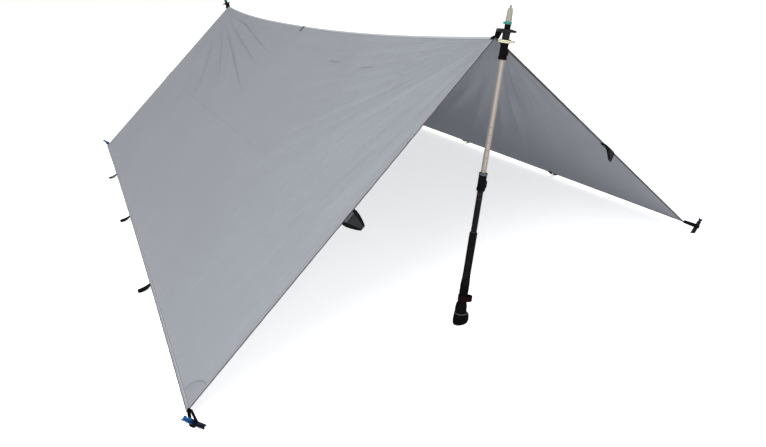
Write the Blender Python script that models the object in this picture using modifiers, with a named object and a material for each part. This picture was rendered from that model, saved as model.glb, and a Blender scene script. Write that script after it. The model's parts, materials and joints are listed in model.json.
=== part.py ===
"""Camping tarp pitched as a low ridge shelter over two upturned trekking poles.

Frame, in metres with +Z up: x = 0 is the ridge plane, y = 0 is the middle of the ridge, the open front is
at -Y, and z = 0 is the level of the stake tips. The ground lies at GROUND, where the poles stand.
"""

import math

import bmesh
import bpy
from mathutils import Matrix, Vector

MM = 0.001

# Cloth, as cut and as pitched. Heights are above the ground.
HALF_WIDTH = 1.300
RIDGE_LENGTH = 3.000
FRONT_PEAK = 0.857
REAR_PEAK = 0.880
CORNER_HEIGHT = 0.017
RIDGE_SAG = 0.057
FRONT_SAG_POWER = 2
REAR_SAG_POWER = 3
EDGE_BOW = 0.007
EDGE_LIFT = 0.007
CLOTH_THICKNESS = 1.0 * MM
HEM_WIDTH = 14 * MM
HEM_THICKNESS = 2.0 * MM
SEAM_WIDTH = 24 * MM
ROWS = 26
COLUMNS = 16

# Folds, as heights of the cloth out of its smooth surface.
FAN_HEIGHT = 7 * MM
FAN_FOLDS = 9
FAN_REACH = 1.3
CREASE_HEIGHT = 4 * MM
CREASE_HALF_WIDTH = 60 * MM
FOLD_FADE = 0.16

# Webbing
TAPE_THICKNESS = 1.6 * MM
LOOP_HEIGHT = 13 * MM
LOOP_TAIL = 6 * MM
LOOP_HOLE_START = 10 * MM
SIDE_LOOP_WIDTH = 20 * MM
SIDE_LOOP_REACH = 46 * MM
SIDE_LOOP_RISE = 18 * MM
END_LOOP_BASE = 54 * MM
END_LOOP_TIP = 12 * MM
END_LOOP_REACH = 44 * MM
END_LOOP_RISE = -30 * MM
TAB_WIDTH = 10 * MM
TAB_LENGTH = 34 * MM
SEWN_OVERLAP = 0.2 * MM
STAKE_LOOP_REACH = 56 * MM
STAKE_LOOP_TAPE = 12 * MM
STAKE_LOOP_INSET = 11 * MM
STRAP_WIDTH = 25 * MM
STRAP_RING_RADIUS = 17 * MM
STRAP_SEWN_LENGTH = 34 * MM
STRAP_BEND = 1.5 * MM
STRAP_PULL = 9 * MM
STRAP_COLUMNS = 6
STRAP_ROWS = 7

# Stakes with three ribs, pushed in square to the cloth
STAKE_LENGTH = 0.155
STAKE_EXPOSED = 0.065
STAKE_RIB = 8 * MM
STAKE_RIB_THICKNESS = 2.4 * MM
STAKE_POINT = 30 * MM
STAKE_HEAD = 7 * MM
STAKE_NOTCH = 0.7
STAKE_NOTCH_LENGTH = 7 * MM

# Poles, standing tip up. Stations of the tip, the basket and the locks are measured down from the end of the tip.
POLE_LENGTH = 0.960
POLE_LEAN = math.radians(11.1)
POLE_STAND_OFF = 41 * MM
LOWER_TUBE_RADIUS = 7 * MM
TUBE_WALL = 0.7 * MM
CARBIDE_RADIUS = 2.3 * MM
CARBIDE_END = 7 * MM
CARBIDE_ROOT = 17 * MM
FLEX_TIP_END_RADIUS = 4.4 * MM
FLEX_TIP_SHOULDER_RADIUS = 6.6 * MM
FLEX_TIP_SHOULDER = 14 * MM
FLEX_TIP_RADIUS = 8.6 * MM
RING_TOP = 44 * MM
RING_BOTTOM = 51 * MM
RING_THICKNESS = 1.7 * MM
RING_GROOVE = 0.7 * MM
RING_TAB_WIDTH = 6 * MM
RING_TAB_REACH = 3.5 * MM
RING_TAB_DIRECTION = math.radians(153)
BASKET_TOP = 65 * MM
BASKET_RADIUS = 26.5 * MM
BASKET_THICKNESS = 3 * MM
BASKET_RIM_WIDTH = 3 * MM
BASKET_RIM_DEPTH = 0.8 * MM
BASKET_FLARE_WIDTH = 4 * MM
BASKET_FLARE_DEPTH = 7 * MM
BASKET_HOLES = 6
BASKET_HOLE_RADIUS = 3.6 * MM
HUB_BOTTOM = 90 * MM
HUB_RADIUS = 11 * MM
SOCKET_TOP = 56 * MM
LOWER_TUBE_LENGTH = 0.500
MIDDLE_TUBE_LENGTH = 0.500
UPPER_LOCK_TOP = 0.4705

# Grip and handle. Their stations are measured up from the ground, and sections are (half width, half depth).
GRIP_TOP = 0.303
HANDLE_TOP = 0.134
HEAD_TOP = 24 * MM
UPPER_TUBE_END = 30 * MM
FOAM_RADIUS = 12.5 * MM
FOAM_FLARE = 1.5 * MM
FOAM_FLARE_LENGTH = 20 * MM
HANDLE_SWELL = (16.5 * MM, 15.0 * MM)
HANDLE_THROAT = (17.5 * MM, 15.5 * MM)
HEAD_NECK = (19.0 * MM, 16.0 * MM)
HEAD_SHOULDER = (23.5 * MM, 17.5 * MM)
HEAD_EDGE = (24.5 * MM, 18.0 * MM)
HEAD_SOLE = (22.5 * MM, 16.5 * MM)
HEAD_BELOW_GROUND = (18.0 * MM, 13.0 * MM)
WRIST_STRAP_TOP = 96 * MM
WRIST_STRAP_WIDTH = 20 * MM
WAIST_SLOPE = 14 * MM
WAIST_MARGIN = 2 * MM
HEAD_DEPTH = 14 * MM
WRIST_STRAP_BULGE = 8 * MM
WRIST_STRAP_FOLD_SPREAD = 0.55
WRIST_STRAP_DIRECTION = math.radians(-28)
WRIST_WAIST = 14.5 * MM

# Lever lock, a split barrel that a cam lever squeezes on to the inner tube
LOCK_LENGTH = 55.5 * MM
LOCK_WALL = 2.7 * MM
LOCK_LIP = 4 * MM
LOCK_COLLAR = 9 * MM
LOCK_COLLAR_RISE = 1 * MM
LOCK_BEVEL = 1.5 * MM
LOCK_TURN = math.radians(-40)
BOLT_DROP = 34.5 * MM
EAR_REACH = 8.5 * MM
EAR_HEIGHT = 20 * MM
EAR_THICKNESS = 4 * MM
SLIT_WIDTH = 2 * MM
BOLT_RADIUS = 1.7 * MM
BOLT_HEAD_RADIUS = 3.2 * MM
BOLT_HEAD = 3 * MM
EYE_RADIUS = 3.4 * MM
EYE_HEIGHT = 6 * MM
PIN_PROUD = 0.6 * MM
CAM_RADIUS = 4 * MM
LEVER_HEIGHT = 18 * MM
LEVER_THICKNESS = 2.6 * MM
LEVER_START = math.radians(38)
LEVER_END = math.radians(-112)
LEVER_FLARE = 1.4 * MM
FLANGE_RADIUS = 16 * MM
FLANGE_HEIGHT = 10.5 * MM

# Glowing cord wound on the front pole's lower lock
CORD_DIAMETER = 3.4 * MM
CORD_TURNS = 2
CORD_PITCH = 4.2 * MM
CORD_POINTS_A_TURN = 24
CORD_LEAD = math.radians(7)
CORD_SWING = math.radians(50)
KNOT_RADIUS = 4.0 * MM
KNOT_CLEARANCE = 0.8 * MM
KNOT_DIRECTION = math.radians(-28)

# What keeps pieces apart, and how round they are
GAP = 0.3 * MM
TUBE_SIDES = 16
LOCK_SIDES = 16
SMALL_SIDES = 8
GRIP_SIDES = 18
BASKET_SIDES = 24

# What follows from the sizes above
CORNER_REACH = math.sqrt(HALF_WIDTH**2 - (FRONT_PEAK - CORNER_HEIGHT) ** 2)
STAKE_LEAN = math.atan2(FRONT_PEAK - CORNER_HEIGHT, CORNER_REACH)
GROUND = (STAKE_LENGTH - STAKE_EXPOSED) * math.cos(STAKE_LEAN)
MIDDLE_TUBE_RADIUS = LOWER_TUBE_RADIUS + GAP + TUBE_WALL
UPPER_TUBE_RADIUS = MIDDLE_TUBE_RADIUS + GAP + TUBE_WALL
LOWER_LOCK_TOP = HUB_BOTTOM + GAP
HALF_RIDGE = RIDGE_LENGTH / 2
REAR_EXTRA = (REAR_PEAK - FRONT_PEAK) / math.cos(POLE_LEAN)
POLES = {
    "front": {"peak": FRONT_PEAK, "length": POLE_LENGTH},
    "rear": {"peak": REAR_PEAK, "length": POLE_LENGTH + REAR_EXTRA},
}

COLOURS = {
    "cloth": ((0.37, 0.38, 0.42), 0.6, 0.0),
    "webbing": ((0.02, 0.02, 0.022), 0.8, 0.0),
    "hem": ((0.10, 0.095, 0.11), 0.8, 0.0),
    "blue_aluminium": ((0.01, 0.16, 0.45), 0.3, 0.9),
    "grey_aluminium": ((0.40, 0.37, 0.31), 0.35, 0.8),
    "black_aluminium": ((0.02, 0.02, 0.02), 0.35, 0.6),
    "steel": ((0.5, 0.5, 0.5), 0.3, 1.0),
    "carbide": ((0.08, 0.06, 0.06), 0.4, 0.9),
    "beige_plastic": ((0.36, 0.32, 0.27), 0.5, 0.0),
    "black_plastic": ((0.015, 0.015, 0.015), 0.45, 0.0),
    "teal_rubber": ((0.02, 0.22, 0.19), 0.6, 0.0),
    "foam": ((0.02, 0.02, 0.02), 0.95, 0.0),
    "glow_cord": ((0.72, 0.76, 0.55), 0.7, 0.0),
}


# Scene, objects and materials


def clear_scene():
    """Start from an empty scene."""
    for old in list(bpy.data.objects):
        bpy.data.objects.remove(old, do_unlink=True)


def new_collection(name):
    """A collection linked to the scene."""
    collection = bpy.data.collections.new(name)
    bpy.context.scene.collection.children.link(collection)
    return collection


def finish_material(name, finish):
    """One Principled material for a sub-part, in the finish that it shares with its like."""
    colour, roughness, metallic = COLOURS[finish]
    material = bpy.data.materials.new(name)
    material.use_nodes = True
    shader = material.node_tree.nodes["Principled BSDF"]
    shader.inputs["Base Color"].default_value = (*colour, 1.0)
    shader.inputs["Roughness"].default_value = roughness
    shader.inputs["Metallic"].default_value = metallic
    material.diffuse_color = (*colour, 1.0)
    return material


clear_scene()
PARTS = new_collection("camping_tarp")
CUTTERS = new_collection("cutters")
NO_MOVE = Matrix.Identity(4)


def add_object(name, data, finish, parent=None, place=NO_MOVE):
    """Put a named sub-part in the model, at a place that is relative to its parent."""
    piece = bpy.data.objects.new(name, data)
    PARTS.objects.link(piece)
    piece.data.materials.append(finish_material(name, finish))
    piece.parent = parent
    piece.matrix_local = place
    if piece.type == "MESH":
        piece.data.shade_smooth()
        piece.data.set_sharp_from_angle(angle=math.radians(35))
    return piece


def add_tool(name, data, parent=None, place=NO_MOVE):
    """A body that only cuts or joins, kept out of the model."""
    tool = bpy.data.objects.new(name, data)
    CUTTERS.objects.link(tool)
    tool.parent = parent
    tool.matrix_local = place
    tool.hide_render = True
    tool.display_type = "WIRE"
    return tool


def boolean(piece, operation, tool):
    """Cut the piece with the tool, or join the tool to it."""
    modifier = piece.modifiers.new(operation.lower(), "BOOLEAN")
    modifier.operation = operation
    modifier.solver = "EXACT"
    modifier.object = tool


def add_empty(name, parent=None, place=NO_MOVE):
    """A joint axis or a pole's standing frame."""
    empty = bpy.data.objects.new(name, None)
    PARTS.objects.link(empty)
    empty.parent = parent
    empty.matrix_local = place
    return empty


# Meshes


def mesh_from(name, form):
    """Turn a bmesh into mesh data."""
    mesh = bpy.data.meshes.new(name)
    form.to_mesh(mesh)
    form.free()
    return mesh


def box(name, low, high):
    """A box between two corners."""
    form = bmesh.new()
    size = Vector(high) - Vector(low)
    middle = (Vector(high) + Vector(low)) / 2
    bmesh.ops.create_cube(form, size=1.0, matrix=Matrix.Translation(middle) @ Matrix.Diagonal((*size, 1.0)))
    return mesh_from(name, form)


def cylinders(name, radius, height, centres, sides, turn=NO_MOVE):
    """Cylinders along Z about each centre, turned together at the end."""
    form = bmesh.new()
    for centre in centres:
        bmesh.ops.create_cone(
            form,
            cap_ends=True,
            segments=sides,
            radius1=radius,
            radius2=radius,
            depth=height,
            matrix=turn @ Matrix.Translation(centre),
        )
    return mesh_from(name, form)


def turned(name, profile, finish, sides, parent=None, place=NO_MOVE, hollow=False):
    """A turned piece. Its profile of radius and height runs down the outer side, and a hollow one closes."""
    mesh = bpy.data.meshes.new(name)
    edges = [(i, i + 1) for i in range(len(profile) - 1)]
    if hollow:
        edges.append((len(profile) - 1, 0))
    mesh.from_pydata([(radius, 0.0, height) for radius, height in profile], edges, [])
    piece = add_object(name, mesh, finish, parent, place)
    screw = piece.modifiers.new("turn", "SCREW")
    screw.angle = math.tau
    screw.steps = sides
    screw.render_steps = sides
    screw.use_merge_vertices = True
    screw.merge_threshold = 0.00001
    return piece


def tube(name, radius, wall, top, length, finish, parent):
    """A length of tube, open at both ends, hanging down from its top."""
    profile = [(radius, top), (radius, top - length), (radius - wall, top - length), (radius - wall, top)]
    return turned(name, profile, finish, TUBE_SIDES, parent, hollow=True)


def lofted(name, rings):
    """A closed mesh through rings of equally many points, with flat ends."""
    form = bmesh.new()
    loops = [[form.verts.new(point) for point in ring] for ring in rings]
    for below, above in zip(loops, loops[1:]):
        for i in range(len(below)):
            form.faces.new((below[i - 1], below[i], above[i], above[i - 1]))
    form.faces.new(list(reversed(loops[0])))
    form.faces.new(loops[-1])
    bmesh.ops.recalc_face_normals(form, faces=form.faces)
    return mesh_from(name, form)


def plate(outlines, thickness):
    """A flat plate in XY, centred on z = 0, with its outer outline first and then its holes."""
    form = bmesh.new()
    for outline in outlines:
        corners = [form.verts.new((x, y, -thickness / 2)) for x, y in outline]
        for i in range(len(corners)):
            form.edges.new((corners[i - 1], corners[i]))
    bmesh.ops.triangle_fill(form, use_beauty=True, use_dissolve=False, edges=form.edges, normal=(0, 0, -1))
    grown = bmesh.ops.extrude_face_region(form, geom=form.faces[:], use_keep_orig=True)
    top = [item for item in grown["geom"] if isinstance(item, bmesh.types.BMVert)]
    bmesh.ops.translate(form, vec=(0, 0, thickness), verts=top)
    bmesh.ops.recalc_face_normals(form, faces=form.faces)
    return form


def arc(centre, radius, start, end, steps):
    """Points round an arc, both ends included."""
    angles = [start + (end - start) * i / steps for i in range(steps + 1)]
    return [(centre[0] + radius * math.cos(a), centre[1] + radius * math.sin(a)) for a in angles]


# The pitched cloth


def smooth(value):
    """Ease from 0 to 1 with level ends."""
    value = min(max(value, 0.0), 1.0)
    return value * value * (3.0 - 2.0 * value)


def ridge_height(along):
    """The ridge hangs below the line between its peaks, and comes up more steeply at the rear."""
    share = along / HALF_RIDGE
    power = FRONT_SAG_POWER if share < 0 else REAR_SAG_POWER
    line = FRONT_PEAK + (REAR_PEAK - FRONT_PEAK) * (share + 1) / 2
    return GROUND + line - RIDGE_SAG * (1 - abs(share) ** power)


def smooth_cloth(across, along):
    """Point of the cloth without folds. Straight lines run from the ridge to side edges that bow in and up."""
    bow = 1 - (along / HALF_RIDGE) ** 2
    reach = CORNER_REACH - EDGE_BOW * bow
    edge_height = GROUND + CORNER_HEIGHT + EDGE_LIFT * bow
    share = abs(across) / HALF_WIDTH
    height = ridge_height(along) * (1 - share) + edge_height * share
    return Vector((math.copysign(share * reach, across), along, height))


def fold_height(across, along):
    """Folds fan out of both peaks, and a crease runs down the middle of each panel; they fade at the hems."""
    distance = abs(across)
    fans = 0.0
    for end in (-1, 1):
        from_end = HALF_RIDGE - end * along
        run = math.hypot(distance, from_end)
        angle = math.atan2(distance, from_end)
        swell = smooth(run / 0.5) * (1 - smooth(run / FAN_REACH))
        fans += swell * math.sin(FAN_FOLDS * angle) * math.sin(2 * angle)
    crease = math.exp(-(((distance - HALF_WIDTH / 2) / CREASE_HALF_WIDTH) ** 2))
    inset = min(distance - SEAM_WIDTH / 2, HALF_WIDTH - HEM_WIDTH - distance, HALF_RIDGE - HEM_WIDTH - abs(along))
    return (FAN_HEIGHT * fans + CREASE_HEIGHT * crease) * smooth(inset / FOLD_FADE)


def cloth_frame(across, along):
    """Frame on the smooth cloth: x runs across it, y along the ridge, z out of its upper face."""
    step = 1 * MM
    run_x = (smooth_cloth(across + step, along) - smooth_cloth(across - step, along)).normalized()
    run_y = (smooth_cloth(across, along + step) - smooth_cloth(across, along - step)).normalized()
    run_z = run_x.cross(run_y).normalized()
    turn = Matrix((run_x, run_z.cross(run_x), run_z)).transposed()
    return Matrix.Translation(smooth_cloth(across, along)) @ turn.to_4x4()


def cloth_point(across, along, lift=0.0):
    """Point of the folded cloth, lifted out of its middle surface."""
    frame = cloth_frame(across, along)
    return frame @ Vector((0, 0, lift + fold_height(across, along)))


def cloth_grid(across, along, columns, rows, lift=0.0):
    """An open sheet of the pitched cloth between two distances from the ridge and two places along it."""
    form = bmesh.new()
    bmesh.ops.create_grid(form, x_segments=columns, y_segments=rows, size=0.5)
    for corner in form.verts:
        at_across = across[0] + (across[1] - across[0]) * (corner.co.x + 0.5)
        at_along = along[0] + (along[1] - along[0]) * (corner.co.y + 0.5)
        corner.co = cloth_point(at_across, at_along, lift)
    return mesh_from("cloth", form)


def thicken(piece, thickness):
    """Give an open sheet its thickness, half to each side."""
    solidify = piece.modifiers.new("thickness", "SOLIDIFY")
    solidify.thickness = thickness
    solidify.offset = 0
    solidify.use_even_offset = True


def cloth_strip(name, across, along, columns, rows, thickness, finish):
    """A strip of the pitched cloth as a sub-part."""
    piece = add_object(name, cloth_grid(across, along, columns, rows), finish)
    thicken(piece, thickness)
    return piece


def make_cloth():
    """Two panels, the ridge seam that joins them and the hems round them, butted edge to edge."""
    between_hems = (-(HALF_RIDGE - HEM_WIDTH - GAP), HALF_RIDGE - HEM_WIDTH - GAP)
    seam = SEAM_WIDTH / 2
    inner_hem = HALF_WIDTH - HEM_WIDTH
    for side, sign in (("left", -1), ("right", 1)):
        panel = sorted((sign * (seam + GAP), sign * (inner_hem - GAP)))
        hem = sorted((sign * inner_hem, sign * HALF_WIDTH))
        cloth_strip(side + "_panel", panel, between_hems, COLUMNS, ROWS, CLOTH_THICKNESS, "cloth")
        cloth_strip(side + "_hem", hem, between_hems, 1, ROWS, HEM_THICKNESS, "hem")
    ridge = cloth_strip("ridge_seam", (-seam, seam), between_hems, 2, ROWS, HEM_THICKNESS, "cloth")
    lift = (HEM_THICKNESS + TAPE_THICKNESS) / 2 - SEWN_OVERLAP
    half_tab = TAB_WIDTH / 2
    tab = add_tool("ridge_tab", cloth_grid((-TAB_LENGTH, TAB_WIDTH), (-half_tab, half_tab), 4, 1, lift))
    thicken(tab, TAPE_THICKNESS)
    boolean(ridge, "UNION", tab)
    for end, sign in (("front", -1), ("rear", 1)):
        hem = sorted((sign * (HALF_RIDGE - HEM_WIDTH), sign * HALF_RIDGE))
        cloth_strip(end + "_hem", (-HALF_WIDTH, HALF_WIDTH), hem, 4, 1, HEM_THICKNESS, "hem")


# Webbing and patches

EDGE_TURNS = {"rear": 0.0, "left": 90.0, "front": 180.0, "right": -90.0}


def edge_place(edge, position, lift=0.0):
    """Frame on an edge of the cloth: x runs along the edge, y straight out of it, z out of the cloth."""
    places = {
        "left": (-HALF_WIDTH, position),
        "right": (HALF_WIDTH, position),
        "front": (position, -HALF_RIDGE),
        "rear": (position, HALF_RIDGE),
    }
    turn = Matrix.Rotation(math.radians(EDGE_TURNS[edge]), 4, "Z")
    return cloth_frame(*places[edge]) @ turn @ Matrix.Translation((0, 0, lift))


def teardrop(start, reach, half_height, steps):
    """A closed drop with its point at the start and its round end at the reach."""
    points = []
    for i in range(1, steps):
        angle = math.tau * i / steps
        x = start + (reach - start) * (1 - math.cos(angle)) / 2
        y = -half_height * 1.18 * math.sin(angle) * math.sin(angle / 2)
        points.append((x, y))
    return points


def tape_loop(base, tip, reach, rise):
    """A tie-out of tape folded back on itself, both ends sewn under the hem. It narrows and bends on its way out."""
    root = -HEM_WIDTH + GAP
    tape = TAPE_THICKNESS
    tail = [(0.0, tape), (root, tape), (root, -tape), (0.0, -tape)]
    drop = [point for point in teardrop(0.0, reach, LOOP_HEIGHT / 2, 18) if point[0] > LOOP_TAIL]
    hole = teardrop(LOOP_HOLE_START, reach - tape, LOOP_HEIGHT / 2 - tape, 12)
    form = plate([tail + drop, hole], base)
    for corner in form.verts:
        out, up, edge = corner.co
        share = max(out, 0.0) / reach
        narrowing = 1 + (tip / base - 1) * share
        corner.co = (edge * narrowing, out, up + rise * share**2)
    return mesh_from("tape_loop", form)


def stake_loop():
    """The band of tape that a stake passes through, as a long ring standing on its edge."""
    inner = STAKE_RIB + 2 * GAP
    outer = inner + TAPE_THICKNESS
    far = STAKE_LOOP_REACH
    near = outer + GAP
    outlines = []
    for radius in (outer, inner):
        ring = arc((0.0, far), radius, 0.0, math.pi, 8) + arc((0.0, near), radius, math.pi, math.tau, 8)
        outlines.append(ring)
    return plate(outlines, STAKE_LOOP_TAPE)


CORNERS = {(-1, -1): "front_left", (1, -1): "front_right", (-1, 1): "rear_left", (1, 1): "rear_right"}


def make_webbing():
    """Tie-outs on all four edges and a loop for each stake."""
    under = -(HEM_THICKNESS / 2 + GAP + TAPE_THICKNESS)
    middle = HALF_WIDTH / 2
    quarter = HALF_RIDGE / 2
    for edge in ("front", "rear"):
        for side, position in (("left", -middle), ("right", middle)):
            loop = tape_loop(END_LOOP_BASE, END_LOOP_TIP, END_LOOP_REACH, END_LOOP_RISE)
            add_object(edge + "_tie_out_" + side, loop, "webbing", place=edge_place(edge, position, under))
    for edge in ("left", "right"):
        for station, position in (("front", -quarter), ("middle", 0.0), ("rear", quarter)):
            loop = tape_loop(SIDE_LOOP_WIDTH, SIDE_LOOP_WIDTH, SIDE_LOOP_REACH, SIDE_LOOP_RISE)
            add_object(edge + "_tie_out_" + station, loop, "webbing", place=edge_place(edge, position, under))
    for corner, name in CORNERS.items():
        loop = mesh_from("stake_loop", stake_loop())
        place = stake_frame(*corner) @ Matrix.Translation((0, -STAKE_LOOP_REACH, 0))
        add_object(name + "_stake_loop", loop, "webbing", place=place)


# Stakes


def stake_frame(side, end):
    """Frame on a stake where it passes its loop: z runs up the stake, y away from the cloth."""
    corner = smooth_cloth(side * (HALF_WIDTH - STAKE_LOOP_INSET), end * HALF_RIDGE)
    lean = Matrix.Rotation(side * STAKE_LEAN, 4, "Y")
    turn = Matrix.Rotation(0.0 if end > 0 else math.pi, 4, "Z")
    out = Matrix.Translation((0, end * STAKE_LOOP_REACH, 0))
    return Matrix.Translation(corner) @ out @ lean @ turn


def three_ribs(scale, height):
    """Outline of the stake's three ribs at one height."""
    half = STAKE_RIB_THICKNESS / 2
    root = half / math.sin(math.radians(60))
    points = []
    for i in range(3):
        turn = Matrix.Rotation(math.radians(120 * i + 90), 2)
        for corner in ((STAKE_RIB * scale, -half), (STAKE_RIB * scale, half)):
            points.append(turn @ Vector(corner))
        points.append(Matrix.Rotation(math.radians(120 * i + 150), 2) @ Vector((root, 0)))
    return [(point.x, point.y, height) for point in points]


def make_stakes():
    """Four stakes, each lofted from its point past a notch to its head."""
    for corner, name in CORNERS.items():
        frame = stake_frame(*corner)
        above_ground = (frame.translation.z - GROUND) / math.cos(STAKE_LEAN)
        head = STAKE_EXPOSED - above_ground
        point = head - STAKE_LENGTH
        stations = [
            (0.25, point + 1 * MM),
            (1.0, point + STAKE_POINT),
            (1.0, head - STAKE_HEAD - STAKE_NOTCH_LENGTH),
            (STAKE_NOTCH, head - STAKE_HEAD - STAKE_NOTCH_LENGTH + 2 * MM),
            (STAKE_NOTCH, head - STAKE_HEAD - 2 * MM),
            (1.0, head - STAKE_HEAD),
            (1.0, head - 1 * MM),
            (0.9, head),
        ]
        mesh = lofted("stake", [three_ribs(scale, height) for scale, height in stations])
        add_object(name + "_stake", mesh, "blue_aluminium", place=frame)


# Poles


def pole_place(end):
    """Frame of a pole on the ground, with z up its axis. The axis crosses the ridge plane at the peak's height."""
    peak = POLES[end]["peak"]
    foot = Matrix.Translation((-peak * math.tan(POLE_LEAN), -(HALF_RIDGE + POLE_STAND_OFF), GROUND))
    lean = Matrix.Rotation(POLE_LEAN, 4, "Y")
    turn = Matrix.Rotation(0.0 if end == "front" else math.pi, 4, "Z")
    return turn @ foot @ lean


def make_tip(end, pole, top):
    """Carbide end, flexible tip, teal ring and snow basket, all on the lower tube."""
    tip_profile = [
        (0.0, top),
        (CARBIDE_RADIUS * 0.7, top),
        (CARBIDE_RADIUS, top - 2 * MM),
        (CARBIDE_RADIUS, top - CARBIDE_ROOT),
        (0.0, top - CARBIDE_ROOT),
    ]
    turned(end + "_carbide_tip", tip_profile, "carbide", SMALL_SIDES, pole)
    seat = CARBIDE_RADIUS + GAP
    groove = FLEX_TIP_RADIUS - RING_GROOVE
    socket = LOWER_TUBE_RADIUS + GAP
    flex_profile = [
        (0.0, top - CARBIDE_ROOT - GAP),
        (seat, top - CARBIDE_ROOT - GAP),
        (seat, top - CARBIDE_END),
        (FLEX_TIP_END_RADIUS, top - CARBIDE_END),
        (FLEX_TIP_SHOULDER_RADIUS, top - FLEX_TIP_SHOULDER),
        (FLEX_TIP_RADIUS, top - RING_TOP + GAP),
        (groove, top - RING_TOP + GAP),
        (groove, top - RING_BOTTOM - GAP),
        (FLEX_TIP_RADIUS, top - RING_BOTTOM - GAP),
        (FLEX_TIP_RADIUS, top - HUB_BOTTOM),
        (socket, top - HUB_BOTTOM),
        (socket, top - SOCKET_TOP + GAP),
        (0.0, top - SOCKET_TOP + GAP),
    ]
    turned(end + "_flex_tip", flex_profile, "beige_plastic", LOCK_SIDES, pole)
    bore = groove + GAP
    rim = bore + RING_THICKNESS
    ring_profile = [(rim, top - RING_TOP), (rim, top - RING_BOTTOM), (bore, top - RING_BOTTOM), (bore, top - RING_TOP)]
    ring = turned(end + "_tip_ring", ring_profile, "teal_rubber", LOCK_SIDES, pole, hollow=True)
    half_tab = RING_TAB_WIDTH / 2
    tab = box("ring_tab", ((bore + rim) / 2, -half_tab, -half_tab), (rim + RING_TAB_REACH, half_tab, half_tab))
    turn = Matrix.Rotation(RING_TAB_DIRECTION, 4, "Z")
    ring_middle = top - (RING_TOP + RING_BOTTOM) / 2
    boolean(ring, "UNION", add_tool(end + "_ring_tab", tab, pole, Matrix.Translation((0, 0, ring_middle)) @ turn))
    make_basket(end, pole, top)
    tube(end + "_lower_shaft", LOWER_TUBE_RADIUS, TUBE_WALL, top - SOCKET_TOP, LOWER_TUBE_LENGTH, "grey_aluminium", pole)


def make_basket(end, pole, top):
    """Snow basket: a thin disc with a thicker rim, a ring of holes and a waisted hub."""
    bore = FLEX_TIP_RADIUS + GAP
    face = top - BASKET_TOP
    back = face - BASKET_THICKNESS
    rim_inside = BASKET_RADIUS - BASKET_RIM_WIDTH
    flare = HUB_RADIUS + BASKET_FLARE_WIDTH
    profile = [
        (BASKET_RADIUS - BASKET_RIM_DEPTH, face),
        (BASKET_RADIUS, face - BASKET_RIM_DEPTH),
        (BASKET_RADIUS, back - BASKET_RIM_DEPTH),
        (rim_inside + BASKET_RIM_DEPTH, back - BASKET_RIM_DEPTH),
        (rim_inside, back),
        (flare, back),
        (HUB_RADIUS, back - BASKET_FLARE_DEPTH),
        (HUB_RADIUS, top - HUB_BOTTOM),
        (bore, top - HUB_BOTTOM),
        (bore, face),
    ]
    basket = turned(end + "_basket", profile, "black_plastic", BASKET_SIDES, pole, hollow=True)
    ring = (rim_inside + flare) / 2
    centres = []
    for i in range(BASKET_HOLES):
        angle = math.tau * (i + 0.5) / BASKET_HOLES
        centres.append((ring * math.cos(angle), ring * math.sin(angle), back))
    holes = cylinders("basket_holes", BASKET_HOLE_RADIUS, 4 * BASKET_THICKNESS, centres, SMALL_SIDES)
    boolean(basket, "DIFFERENCE", add_tool(end + "_basket_holes", holes, pole))


def make_lock(name, pole, top, inner_radius, outer_radius, flange=False):
    """A lever lock: clamp barrel with ears, eye bolt with its pin, and cam lever."""
    height = top - BOLT_DROP
    place = Matrix.Translation((0, 0, height)) @ Matrix.Rotation(LOCK_TURN, 4, "Z")
    axis = add_empty(name, pole, place)
    barrel = outer_radius + GAP + LOCK_WALL
    make_clamp(name, axis, inner_radius, outer_radius, barrel, flange)
    pivot = (SLIT_WIDTH / 2 + EAR_THICKNESS + 2 * GAP + CAM_RADIUS, barrel + EAR_REACH / 2, 0.0)
    make_bolt(name, axis, pivot)
    pin_axis = add_empty(name + "_pin_axis", axis, Matrix.Translation(pivot))
    make_lever(name, pin_axis, pivot, barrel)


def make_clamp(name, axis, inner_radius, outer_radius, barrel, flange):
    """The split barrel. Its lip grips the inner tube, and the rest closes on the outer tube's end."""
    top = BOLT_DROP
    bottom = BOLT_DROP - LOCK_LENGTH
    lip = inner_radius + GAP
    bore = outer_radius + GAP
    collar = barrel + LOCK_COLLAR_RISE
    profile = [(barrel - LOCK_BEVEL / 2, top), (barrel, top - LOCK_BEVEL)]
    if flange:
        profile = [
            (FLANGE_RADIUS - LOCK_BEVEL / 2, top),
            (FLANGE_RADIUS, top - LOCK_BEVEL / 2),
            (FLANGE_RADIUS, top - FLANGE_HEIGHT),
            (barrel, top - FLANGE_HEIGHT - LOCK_BEVEL),
        ]
    profile += [
        (barrel, bottom + LOCK_COLLAR + LOCK_BEVEL),
        (collar, bottom + LOCK_COLLAR),
        (collar, bottom + LOCK_BEVEL),
        (collar - LOCK_BEVEL, bottom),
        (bore, bottom),
        (bore, top - LOCK_LIP),
        (lip, top - LOCK_LIP),
        (lip, top),
    ]
    clamp = turned(name + "_clamp", profile, "black_plastic", LOCK_SIDES, axis, hollow=True)
    half = SLIT_WIDTH / 2
    ear = half + EAR_THICKNESS
    reach = barrel + EAR_REACH
    root = barrel - LOCK_WALL / 2
    ears = box("ears", (-ear, root, -EAR_HEIGHT / 2), (ear, reach, EAR_HEIGHT / 2))
    boolean(clamp, "UNION", add_tool(name + "_ears", ears, axis))
    slit = box("slit", (-half, 0.0, -EAR_HEIGHT / 2 - 4 * MM), (half, reach + 1 * MM, top + 1 * MM))
    boolean(clamp, "DIFFERENCE", add_tool(name + "_slit", slit, axis))
    along_x = Matrix.Rotation(math.radians(90), 4, "Y")
    hole = cylinders("bolt_hole", BOLT_RADIUS + GAP, 4 * ear, [(0, 0, 0)], SMALL_SIDES, along_x)
    at_bolt = Matrix.Translation((0, barrel + EAR_REACH / 2, 0))
    boolean(clamp, "DIFFERENCE", add_tool(name + "_bolt_hole", hole, axis, at_bolt))


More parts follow.
